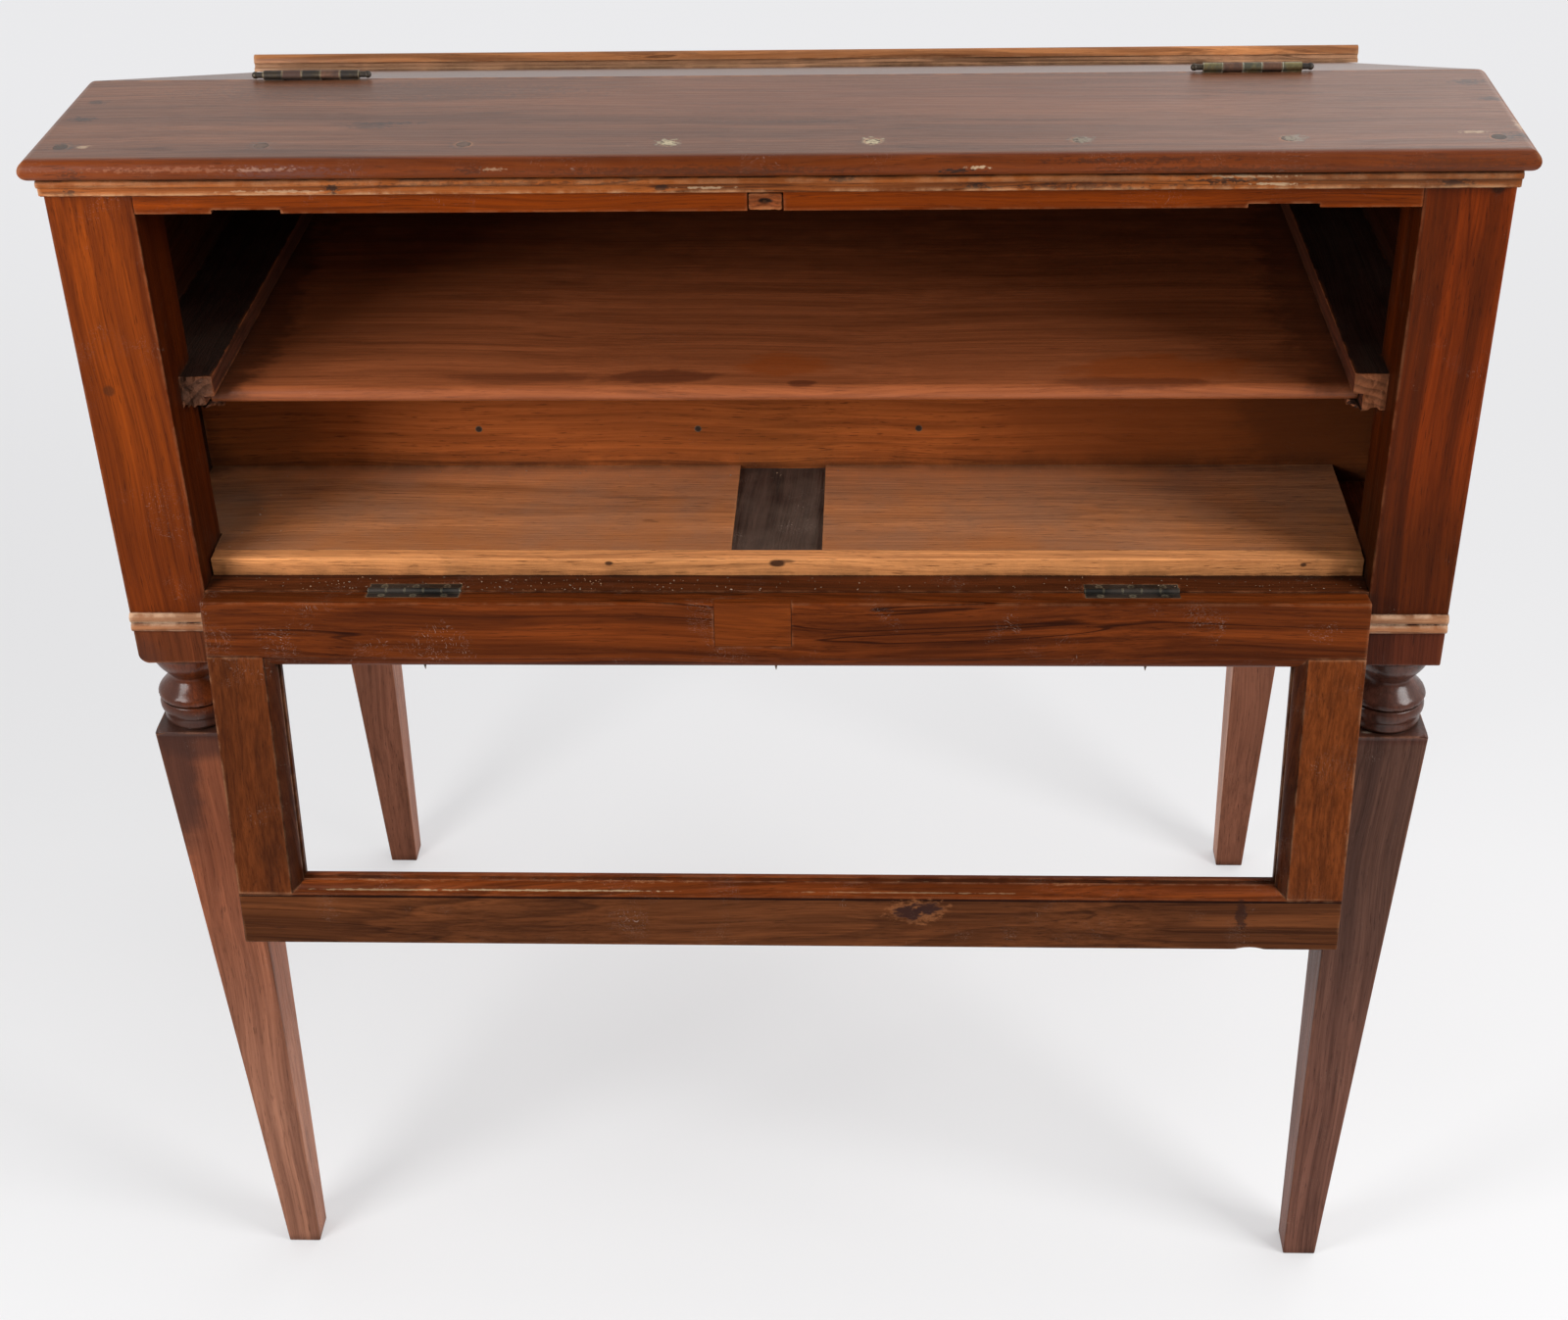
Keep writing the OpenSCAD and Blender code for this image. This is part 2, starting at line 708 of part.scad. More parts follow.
// Lip with a round bead over a hollow, standing on the lid's low edge
module lid_lip() {
    w = half_w + end_over + 2.5;
    bead = lip_h * 0.27;
    hollow = lip_h * 0.15;
    color(worn_wood) placed() translate([0, lid_y, top_h]) rotate([-slope, 0, 0])
        along_x(-w, w) difference() {
            union() {
                translate([lid_len - lip_t, 0]) square([lip_t, lip_h - bead]);
                translate([lid_len - lip_t + bead, lip_h - bead]) circle(bead);
                translate([lid_len - lip_t + bead, lip_h - 2 * bead])
                    square([lip_t - bead, 2 * bead]);
            }
            translate([lid_len - lip_t, lip_h * 0.35]) circle(hollow);
        }
}

// One leaf of a butt hinge: knuckles around the X axis, the plate on the +Y side.
// own says whether this leaf has the outer knuckles, heads_up which face its screws enter.
module hinge_leaf(len, knuckle_r, pin_r, start, width, t, drop, own, heads_up) {
    seg = len / 5;
    difference() {
        union() {
            translate([-len / 2, start, -drop - t]) cube([len, width - start, t]);
            for (i = [0 : 4]) if ((i % 2 == 0) == own) {
                x0 = -len / 2 + i * seg + (i > 0 ? knuckle_gap / 2 : 0);
                l = seg - (i == 0 || i == 4 ? knuckle_gap / 2 : knuckle_gap);
                translate([x0, 0, 0]) rotate([0, 90, 0]) cylinder(h = l, r = knuckle_r);
                translate([x0, 0, -drop - t]) cube([l, start + 1, t]);
            }
        }
        translate([-len / 2 - 1, 0, 0]) rotate([0, 90, 0])
            cylinder(h = len + 2, r = pin_r + pin_gap);
        for (x = [-0.34, 0, 0.34]) translate([x * len, start + (width - start) * 0.55,
                                              heads_up ? -drop - t : -drop])
            mirror([0, 0, heads_up ? 0 : 1]) countersink(t);
    }
}

// Hole for a countersunk screw through a leaf of thickness t
module countersink(t) {
    translate([0, 0, -1]) cylinder(h = t + 2, r = screw_shank_r + 0.05);
    translate([0, 0, t - 1.5]) cylinder(h = 1.5 + 0.05, r1 = screw_shank_r + 0.05,
                                        r2 = screw_head_r + 0.1);
}

// Countersunk slotted screw, its head's top at z = 0
module leaf_screw(len) {
    difference() {
        union() {
            translate([0, 0, -1.5]) cylinder(h = 1.5, r1 = screw_shank_r, r2 = screw_head_r);
            translate([0, 0, -len]) cylinder(h = len - 1.4, r = screw_shank_r);
        }
        translate([-screw_head_r - 1, -screw_slot_w / 2, -screw_slot_deep])
            cube([2 * screw_head_r + 2, screw_slot_w, screw_slot_deep + 1]);
    }
}

// Puts children at a flap hinge's axis. The flap's own half hangs on the other side.
module at_flap_hinge(s, dir) {
    translate([s * flap_hinge_x + flap_hinge_shift, axis_y, axis_z])
        mirror([0, dir < 0 ? 1 : 0, 0]) children();
}

// Turns the flap from upright to where it rests against the astragal
module hung() {
    translate([0, axis_y, axis_z]) rotate([-flap_lean, 0, 0])
        translate([0, -axis_y, -axis_z]) children();
}

// Recess for a flap hinge's leaf and knuckles
module flap_hinge_seat(s, dir) {
    at_flap_hinge(s, dir) {
        translate([-flap_hinge_len / 2 - 0.1, 0, -0.5 - leaf_t])
            cube([flap_hinge_len + 0.2, flap_leaf_w + 0.1, leaf_t + 3]);
        translate([-flap_hinge_len / 2 - 0.5, 0, 0]) rotate([0, 90, 0])
            cylinder(h = flap_hinge_len + 1, r = flap_knuckle_r + 0.4);
    }
}

module flap_screw_places(s, dir) {
    at_flap_hinge(s, dir) for (x = [-0.34, 0, 0.34])
        translate([x * flap_hinge_len,
                   flap_leaf_start + (flap_leaf_w - flap_leaf_start) * 0.55, -0.5])
            children();
}

module flap_screw_holes(s, dir) {
    flap_screw_places(s, dir) translate([0, 0, -screw_hole_len - 0.1])
        cylinder(h = screw_hole_len, r = screw_shank_r + 0.05);
}

module flap_leaf(s, dir) {
    at_flap_hinge(s, dir)
        hinge_leaf(flap_hinge_len, flap_knuckle_r, flap_pin_r, flap_leaf_start, flap_leaf_w,
                   leaf_t, 0.5, dir > 0, true);
}

module flap_hinge_rail_leaf(s) {
    color(iron) placed() flap_leaf(s, 1);
}

module flap_hinge_flap_leaf(s) {
    color(iron) placed() hung() flap_leaf(s, -1);
}

module flap_hinge_pin(s) {
    color(iron) placed() at_flap_hinge(s, 1)
        translate([-flap_hinge_len / 2 - 0.2, 0, 0]) rotate([0, 90, 0])
            cylinder(h = flap_hinge_len + 0.4, r = flap_pin_r);
}

module flap_hinge_screws_rail() {
    color(iron) placed() for (s = [-1, 1]) flap_screw_places(s, 1) leaf_screw(screw_len);
}

module flap_hinge_screws_flap() {
    color(iron) placed() hung() for (s = [-1, 1]) flap_screw_places(s, -1) leaf_screw(screw_len);
}

// Section of a flap member: X is the distance from its outer edge, Y from the hidden face
module flap_section(w) {
    difference() {
        square([w, flap_t]);
        translate([w - panel_groove, 6]) square([panel_groove + 1, panel_t]);
        difference() {
            translate([w - ovolo_r, flap_t - ovolo_r]) square([ovolo_r + 1, ovolo_r + 1]);
            translate([w - ovolo_r, flap_t - ovolo_r - 1]) circle(ovolo_r);
        }
    }
}

// Mortises for the stiles, from height z over a length dz
module flap_mortises(z, dz) {
    for (s = [-1, 1]) translate([s * (flap_w / 2 - flap_stile_w / 2) - flap_stile_w * 0.3 - joint_gap,
                                 flap_back - 13 - flap_tenon_t / 2 - joint_gap,
                                 min(z, z + dz) - (dz < 0 ? 0.2 : 1)])
        cube([flap_stile_w * 0.6 + 2 * joint_gap, flap_tenon_t + 2 * joint_gap, abs(dz) + 1.2]);
}

module flap_upper_rail() {
    top = low_rail_top;
    low = top - flap_rail_w;
    color(wood) placed() hung() difference() {
        flap_rail(top, -1);
        flap_mortises(low, flap_tenon_l);
        for (s = [-1, 1]) {
            flap_hinge_seat(s, -1);
            flap_screw_holes(s, -1);
        }
        translate([patch_x - patch_w / 2 - joint_gap, flap_back - flap_t - 1, top - patch_h - joint_gap])
            cube([patch_w + 2 * joint_gap, patch_t + 1 + joint_gap, patch_h + 1 + joint_gap]);
    }
}

// Rail with its moulding mitred into the stiles', dir says which way the flap's opening lies
module flap_rail(z, dir) {
    inner = flap_w / 2 - flap_stile_w;
    plain = dir * (flap_rail_w - moulding_w);
    mitre_x = inner + moulding_w;
    intersection() {
        along_x(-flap_w / 2, flap_w / 2) translate([flap_back, z]) rotate(dir < 0 ? -90 : 90)
            mirror([0, dir < 0 ? 0 : 1]) mirror([0, 1]) flap_section(flap_rail_w);
        along_y(flap_back - flap_t - 1, flap_back + 1) translate([0, z])
            polygon([[-flap_w / 2, 0], [flap_w / 2, 0], [flap_w / 2, plain], [mitre_x, plain],
                     [inner, dir * flap_rail_w], [-inner, dir * flap_rail_w],
                     [-mitre_x, plain], [-flap_w / 2, plain]]);
    }
}

module flap_lower_rail() {
    z = low_rail_top - flap_h;
    hollow_r = (pow(edge_hollow_w / 2, 2) + pow(edge_hollow_deep, 2)) / (2 * edge_hollow_deep);
    color(wood) placed() hung() difference() {
        flap_rail(z, 1);
        flap_mortises(z + flap_rail_w, -flap_tenon_l);
        translate([flap_w / 2 - edge_hollow_in, flap_back + 1, z + edge_hollow_deep - hollow_r])
            rotate([90, 0, 0]) cylinder(h = flap_t + 2, r = hollow_r);
    }
}

module flap_stile(side) {
    inner = flap_w / 2 - flap_stile_w;
    low_edge = low_rail_top - flap_h + flap_rail_w;
    high_edge = low_rail_top - flap_rail_w;
    z0 = low_edge - moulding_w;
    z1 = high_edge + moulding_w;
    color(wood) placed() hung() mirror([side > 0 ? 1 : 0, 0, 0]) {
        difference() {
            translate([-flap_w / 2, flap_back, z0]) linear_extrude(z1 - z0) mirror([0, 1])
                flap_section(flap_stile_w);
            for (end = [[low_edge, 1], [high_edge, -1]])
                along_y(flap_back - flap_t - 1, flap_back + 1) translate([-inner, end[0]])
                    polygon([[1, end[1]], [1, -end[1] * (moulding_w + 1)],
                             [-moulding_w - 1, -end[1] * (moulding_w + 1)]]);
        }
        translate([-flap_w / 2 + flap_stile_w * 0.2, flap_back - 13 - flap_tenon_t / 2,
                   low_edge - flap_tenon_l + 1])
            cube([flap_stile_w * 0.6, flap_tenon_t, high_edge - low_edge + 2 * (flap_tenon_l - 1)]);
    }
}

module flap_patch() {
    color(wood) placed() hung()
        translate([patch_x - patch_w / 2, flap_back - flap_t, low_rail_top - patch_h])
            cube([patch_w, patch_t, patch_h]);
}

// Puts children at a lid hinge's axis with the plate side turned down
module at_lid_hinge(s) {
    translate([s * lid_hinge_x, lid_axis_y, lid_axis_z]) children();
}

// Lid hinge leaf. dir -1 is the top board's leaf, 1 is the lid's.
module lid_leaf(s, dir) {
    start = lid_axis_z - top_h + lid_leaf_top;
    at_lid_hinge(s) mirror([0, dir < 0 ? 1 : 0, 0]) rotate([-90, 0, 0])
        hinge_leaf(lid_hinge_len, lid_knuckle_r, lid_pin_r, start, start + lid_leaf_h, leaf_t,
                   -lid_gap / 2 - leaf_t, dir < 0, false);
}

module lid_screw_places(s, dir) {
    for (x = [-0.34, 0, 0.34]) translate([s * lid_hinge_x + x * lid_hinge_len,
                                          lid_axis_y + dir * lid_gap / 2,
                                          top_h - lid_leaf_top - lid_leaf_h * 0.55])
        rotate([dir > 0 ? 90 : -90, 0, 0]) children();
}

module lid_screw_holes(s, dir) {
    lid_screw_places(s, dir) translate([0, 0, -screw_hole_len - 0.1])
        cylinder(h = screw_hole_len, r = screw_shank_r + 0.05);
}

module lid_hinge_fixed_leaf(s) {
    color(brass) placed() lid_leaf(s, -1);
}

module lid_hinge_lid_leaf(s) {
    color(brass) placed() lid_leaf(s, 1);
}

// Pin with a collar and a ball at each end
module lid_hinge_pin(s) {
    reach = lid_hinge_len / 2 + knuckle_gap;
    color(iron) placed() at_lid_hinge(s) rotate([0, 90, 0]) {
        translate([0, 0, -reach - 1]) cylinder(h = 2 * reach + 2, r = lid_pin_r);
        for (end = [0, 1]) mirror([0, 0, end]) {
            translate([0, 0, reach]) cylinder(h = pin_collar_l, r = pin_collar_r);
            translate([0, 0, reach + pin_collar_l + pin_ball_r / 2]) sphere(pin_ball_r);
        }
    }
}

module lid_hinge_screws_fixed() {
    color(iron) placed() for (s = [-1, 1]) lid_screw_places(s, -1) leaf_screw(screw_len);
}

module lid_hinge_screws_lid() {
    color(iron) placed() for (s = [-1, 1]) lid_screw_places(s, 1) leaf_screw(screw_len);
}

front_leg(-1);  // front_leg_left
front_leg(1);  // front_leg_right
rear_leg(-1);  // rear_leg_left
rear_leg(1);  // rear_leg_right
side_panel(-1);  // side_panel_left
side_panel(1);  // side_panel_right
rear_rail();
top_front_rail();
keep_patch();
bottom_front_rail();
astragal();
cornice_strip();
top_board();
top_nails();
nail_plugs();
floor_strip();
floor_board_left();
floor_board_right();
centre_bearer();
side_bearer(-1);  // side_bearer_left
side_bearer(1);  // side_bearer_right
partition();
partition_rail();
partition_nails();
runner(-1);  // runner_left
runner(1);  // runner_right
shelf();
lid_upper_board();
lid_lower_board();
lid_lip();
lid_hinge_fixed_leaf(-1);  // lid_hinge_left_fixed_leaf
lid_hinge_lid_leaf(-1);  // lid_hinge_left_lid_leaf
lid_hinge_pin(-1);  // lid_hinge_left_pin
lid_hinge_fixed_leaf(1);  // lid_hinge_right_fixed_leaf
lid_hinge_lid_leaf(1);  // lid_hinge_right_lid_leaf
lid_hinge_pin(1);  // lid_hinge_right_pin
lid_hinge_screws_fixed();
lid_hinge_screws_lid();
flap_upper_rail();
flap_lower_rail();
flap_stile(-1);  // flap_stile_left
flap_stile(1);  // flap_stile_right
flap_patch();
flap_hinge_rail_leaf(-1);  // flap_hinge_left_rail_leaf
flap_hinge_flap_leaf(-1);  // flap_hinge_left_flap_leaf
flap_hinge_pin(-1);  // flap_hinge_left_pin
flap_hinge_rail_leaf(1);  // flap_hinge_right_rail_leaf
flap_hinge_flap_leaf(1);  // flap_hinge_right_flap_leaf
flap_hinge_pin(1);  // flap_hinge_right_pin
flap_hinge_screws_rail();
flap_hinge_screws_flap();
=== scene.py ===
"""Looks of a standing writing desk with a drop flap, a pull-out shelf and a sloping lid."""
import json
import math

import bmesh
import bpy
from mathutils import Matrix, Vector, noise
from mathutils.bvhtree import BVHTree


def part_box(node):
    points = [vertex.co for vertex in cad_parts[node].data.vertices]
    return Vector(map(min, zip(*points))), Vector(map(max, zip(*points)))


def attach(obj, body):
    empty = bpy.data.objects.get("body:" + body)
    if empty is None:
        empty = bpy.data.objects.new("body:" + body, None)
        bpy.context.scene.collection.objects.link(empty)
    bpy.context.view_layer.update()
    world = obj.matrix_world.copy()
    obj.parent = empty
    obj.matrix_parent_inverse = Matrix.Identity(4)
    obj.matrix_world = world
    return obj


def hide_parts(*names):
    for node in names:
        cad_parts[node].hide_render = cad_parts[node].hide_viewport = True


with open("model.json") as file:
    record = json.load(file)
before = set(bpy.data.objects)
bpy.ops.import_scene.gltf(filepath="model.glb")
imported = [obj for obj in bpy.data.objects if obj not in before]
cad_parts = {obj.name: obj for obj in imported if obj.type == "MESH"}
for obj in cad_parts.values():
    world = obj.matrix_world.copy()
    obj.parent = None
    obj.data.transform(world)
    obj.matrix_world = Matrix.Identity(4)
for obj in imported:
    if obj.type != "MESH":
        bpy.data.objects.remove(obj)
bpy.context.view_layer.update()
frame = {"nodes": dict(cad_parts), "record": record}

BODIES = frame["record"]["behaviour"]["bodies"]
BODY_OF = {node: body for body, nodes in BODIES.items() for node in nodes}
MM = 0.001
ORIGIN = (0.0, 0.0, 0.0)


# Building shader trees
def add(tree, kind, inputs=None, **settings):
    """One node with its settings, its inputs given as values or as sockets to join."""
    made = tree.nodes.new(kind)
    for key, value in settings.items():
        setattr(made, key, value)
    for key, value in (inputs or {}).items():
        if isinstance(value, bpy.types.NodeSocket):
            tree.links.new(value, made.inputs[key])
        else:
            made.inputs[key].default_value = value
    return made


def maths(tree, operation, *inputs):
    """A sum or comparison of numbers, given in order."""
    return add(tree, "ShaderNodeMath", dict(enumerate(inputs)), operation=operation).outputs[0]


def times(tree, first, second):
    return maths(tree, "MULTIPLY", first, second)


def vector_maths(tree, operation, *inputs):
    """An operation on vectors, given in order. Returns the node's outputs."""
    return add(tree, "ShaderNodeVectorMath", dict(enumerate(inputs)), operation=operation).outputs


def stretch(tree, vector, scale):
    """Scales a vector along each axis."""
    return vector_maths(tree, "MULTIPLY", vector, scale)[0]


def ramp(tree, value, low, high, start=0.0, end=1.0):
    """Smooth step of a value between two limits."""
    sockets = {0: value, 1: low, 2: high, 3: start, 4: end}
    return add(tree, "ShaderNodeMapRange", sockets, interpolation_type="SMOOTHSTEP").outputs[0]


def blend(tree, amount, first, second, mode="MIX"):
    """Mixes two colours by an amount from 0 to 1."""
    first = first if isinstance(first, bpy.types.NodeSocket) else (*first, 1.0)
    second = second if isinstance(second, bpy.types.NodeSocket) else (*second, 1.0)
    sockets = {0: amount, 6: first, 7: second}
    return add(tree, "ShaderNodeMix", sockets, data_type="RGBA", blend_type=mode).outputs[2]


def lay_over(tree, colour, mask, amount, other, mode="MIX"):
    """A colour with another laid over it where a mask says, by an amount."""
    return blend(tree, times(tree, mask, amount), colour, other, mode)


def cloud(tree, vector, scale, detail=2.0, roughness=0.5, distortion=0.0):
    """Uneven patches of a given fineness, from 0 to 1."""
    sockets = {"Vector": vector, "Scale": scale, "Detail": detail, "Roughness": roughness,
               "Distortion": distortion}
    return add(tree, "ShaderNodeTexNoise", sockets).outputs[0]


def open_group(name, inputs):
    """A shader group with numbers and vectors as inputs. Returns its tree and its inputs."""
    tree = bpy.data.node_groups.new(name, "ShaderNodeTree")
    for label, value in inputs.items():
        kind = "NodeSocketFloat" if isinstance(value, float) else "NodeSocketVector"
        tree.interface.new_socket(label, in_out="INPUT", socket_type=kind).default_value = value
    return tree, tree.nodes.new("NodeGroupInput").outputs


def close_group(tree, outputs):
    """Puts numbers out of a group under their names."""
    for label in outputs:
        tree.interface.new_socket(label, in_out="OUTPUT", socket_type="NodeSocketFloat")
    result = tree.nodes.new("NodeGroupOutput")
    for label, socket in outputs.items():
        tree.links.new(socket, result.inputs[label])
    return tree


def place_group(tree, group, inputs):
    return add(tree, "ShaderNodeGroup", inputs, node_tree=group).outputs


# Shared effects
def make_timber_figure():
    """Growth rings, veins, streaks, fibres and pores of a board whose grain runs along X."""
    inputs = {"Vector": ORIGIN, "Rings": 80.0, "Wander": 4.0, "Streak Scale": 90.0}
    tree, given = open_group("Timber figure", inputs)
    sockets = {"Vector": given["Vector"], "Scale": 3.2, "Detail": 1.0}
    drift = add(tree, "ShaderNodeTexNoise", sockets).outputs[1]
    flow = vector_maths(tree, "MULTIPLY_ADD", drift, (0.0, 0.030, 0.030), given["Vector"])[0]
    along = stretch(tree, flow, (0.05, 1.0, 1.0))
    across = stretch(tree, flow, (0.02, 1.0, 1.0))
    from_pith = vector_maths(tree, "LENGTH", across)["Value"]
    uneven = times(tree, cloud(tree, along, 17.0), given["Wander"])
    phase = maths(tree, "FRACT", maths(tree, "MULTIPLY_ADD", from_pith, given["Rings"], uneven))
    rise = ramp(tree, phase, 0.15, 0.88)
    fall = ramp(tree, phase, 0.90, 1.0, 1.0, 0.0)
    faint = ramp(tree, cloud(tree, along, 9.0), 0.34, 0.60, 0.25, 1.0)
    ring = times(tree, times(tree, rise, fall), faint)
    middle = maths(tree, "SUBTRACT", cloud(tree, across, 60.0, 2.0, 0.55), 0.5)
    contour = maths(tree, "ABSOLUTE", middle)
    broken = ramp(tree, cloud(tree, along, 24.0, 2.0, 0.6), 0.42, 0.58)
    vein = times(tree, ramp(tree, contour, 0.026, 0.004), broken)
    streaks = cloud(tree, across, given["Streak Scale"], 3.0, 0.6, 0.15)
    wide = times(tree, given["Streak Scale"], 0.42)
    bands = cloud(tree, across, wide, 2.0, 0.5, 0.1)
    fibres = cloud(tree, stretch(tree, flow, (0.012, 1.0, 1.0)), 430.0, 4.0, 0.7)
    pores = cloud(tree, along, 900.0, 2.0, 0.6)
    patches = cloud(tree, stretch(tree, flow, (0.35, 1.0, 1.0)), 8.5, 3.0, 0.55, 0.2)
    return close_group(tree, {
        "Ring": ring,
        "Vein": vein,
        "Streak": ramp(tree, streaks, 0.50, 0.66),
        "Band": ramp(tree, bands, 0.40, 0.62),
        "Fibre": ramp(tree, fibres, 0.33, 0.67),
        "Pore": ramp(tree, pores, 0.60, 0.70),
        "Patch": ramp(tree, patches, 0.36, 0.64),
    })


def make_edge_wear():
    """Where a corner of the solid is near, broken up as rubbing leaves it."""
    tree, given = open_group("Edge wear", {"Vector": ORIGIN, "Reach": 0.003, "Breakup": 0.5})
    inside = add(tree, "ShaderNodeAmbientOcclusion", {"Distance": given["Reach"]}, samples=6,
                 inside=True, only_local=True)
    corner = ramp(tree, inside.outputs["AO"], 0.93, 0.55)
    rubbed = cloud(tree, given["Vector"], 60.0, 4.0, 0.6)
    low = maths(tree, "SUBTRACT", given["Breakup"], 0.12)
    high = maths(tree, "ADD", given["Breakup"], 0.12)
    return close_group(tree, {"Worn": times(tree, corner, ramp(tree, rubbed, low, high))})


def make_corner_shade_and_dirt():
    """Painted shade, mixed with dirt, in inner corners and against neighbouring pieces."""
    tree, given = open_group("Corner grime", {"Vector": ORIGIN, "Reach": 0.02})
    outside = add(tree, "ShaderNodeAmbientOcclusion", {"Distance": given["Reach"]}, samples=6)
    near = ramp(tree, outside.outputs["AO"], 0.86, 0.42)
    uneven = ramp(tree, cloud(tree, given["Vector"], 38.0, 4.0, 0.6), 0.28, 0.62, 0.35, 1.0)
    return close_group(tree, {"Shade And Dirt": times(tree, near, uneven)})


def make_scuffs():
    """Short pale scratches in clusters, stronger as Amount grows."""
    tree, given = open_group("Scuffs", {"Vector": ORIGIN, "Amount": 0.3})
    place = given["Vector"]
    drift = add(tree, "ShaderNodeTexNoise", {"Vector": place, "Scale": 14.0}).outputs[1]
    bent = vector_maths(tree, "MULTIPLY_ADD", place, drift, (0.05, 0.05, 0.05))[0]
    lines = cloud(tree, stretch(tree, bent, (0.22, 1.0, 1.0)), 620.0, 2.0, 0.55)
    where = ramp(tree, cloud(tree, place, 23.0, 3.0, 0.6), 0.53, 0.66)
    scratches = times(tree, ramp(tree, lines, 0.62, 0.70), where)
    return close_group(tree, {"Scuff": times(tree, scratches, given["Amount"])})


def make_local_patch():
    """A soft-edged patch inside an ellipsoid, for local stains, knots and bare spots, and for painted shade
    and painted highlights.
    """
    inputs = {"Vector": ORIGIN, "Centre": ORIGIN, "Radii": (0.1, 0.1, 0.1), "Shift": 0.0}
    tree, given = open_group("Local patch", inputs)
    offset = vector_maths(tree, "SUBTRACT", given["Vector"], given["Centre"])[0]
    scaled = vector_maths(tree, "DIVIDE", offset, given["Radii"])[0]
    far = vector_maths(tree, "LENGTH", scaled)["Value"]
    edge = maths(tree, "ADD", far, given["Shift"])
    return close_group(tree, {"Inside": ramp(tree, edge, 1.0, 0.55)})


def make_facing():
    """Faces of a solid that look along an axis, both ways or one way."""
    inputs = {"Direction": (1.0, 0.0, 0.0), "Start": 0.55, "Full": 0.85}
    tree, given = open_group("Facing", inputs)
    normal = add(tree, "ShaderNodeTexCoord").outputs["Normal"]
    along = vector_maths(tree, "DOT_PRODUCT", normal, given["Direction"])["Value"]
    both = ramp(tree, maths(tree, "ABSOLUTE", along), 0.70, 0.90)
    return close_group(tree, {"Both Ways": both, "One Way": ramp(tree, along, given["Start"], given["Full"])})


def make_height_band():
    """A level band between two heights, with soft edges."""
    inputs = {"Vector": ORIGIN, "Low": 0.0, "High": 1.0, "Soft": 0.01}
    tree, given = open_group("Height band", inputs)
    height = add(tree, "ShaderNodeSeparateXYZ", {0: given["Vector"]}).outputs["Z"]
    under = maths(tree, "SUBTRACT", given["Low"], given["Soft"])
    over = maths(tree, "ADD", given["High"], given["Soft"])
    risen = ramp(tree, height, under, given["Low"])
    fallen = ramp(tree, height, over, given["High"])
    return close_group(tree, {"Inside": times(tree, risen, fallen)})


TIMBER_FIGURE = make_timber_figure()
EDGE_WEAR = make_edge_wear()
CORNER_SHADE_AND_DIRT = make_corner_shade_and_dirt()
SCUFFS = make_scuffs()
LOCAL_PATCH = make_local_patch()
FACING = make_facing()
HEIGHT_BAND = make_height_band()


def between(tree, place, low, high, soft):
    """1 between two heights, falling to 0 over soft edges."""
    sockets = {"Vector": place, "Low": low, "High": high, "Soft": soft}
    return place_group(tree, HEIGHT_BAND, sockets)["Inside"]


def looking(tree, direction, start, full):
    """1 on faces that look one way, 0 below a least cosine."""
    sockets = {"Direction": direction, "Start": start, "Full": full}
    return place_group(tree, FACING, sockets)["One Way"]


GRAIN_TURNS = {"x": ORIGIN, "y": (0.0, 0.0, -90.0), "z": (0.0, 90.0, 0.0)}
GRAIN_AXES = {"x": (1.0, 0.0, 0.0), "y": (0.0, 1.0, 0.0), "z": (0.0, 0.0, 1.0)}
UP = (0.0, 0.0, 1.0)
SHADE_AND_DIRT_COLOUR = (0.016, 0.009, 0.006)
DUST = (0.230, 0.165, 0.125)
SCRATCH = (0.42, 0.33, 0.27)
PALER = (1.45, 1.5, 1.55)
DEEPER = (0.45, 0.42, 0.40)
FIBRE_SHADE = (0.42, 0.36, 0.32)
END_GRAIN_SHADE = 0.55
FACE_SOFT = 0.01
FACE_FADE = 0.3
POLISH_SOFT = 0.002
WOOD_IOR = 1.48
GRAIN_DEPTH = 0.0004
SCRATCH_DEPTH = 0.0002
METAL_SHADE_AND_DIRT = (0.012, 0.009, 0.007)


def start_material(name):
    material = bpy.data.materials.new(name)
    material.use_nodes = True
    tree = material.node_tree
    tree.nodes.clear()
    surface = tree.nodes.new("ShaderNodeBsdfPrincipled")
    output = tree.nodes.new("ShaderNodeOutputMaterial")
    tree.links.new(surface.outputs[0], output.inputs[0])
    place = add(tree, "ShaderNodeTexCoord").outputs["Object"]
    return material, tree, surface, place


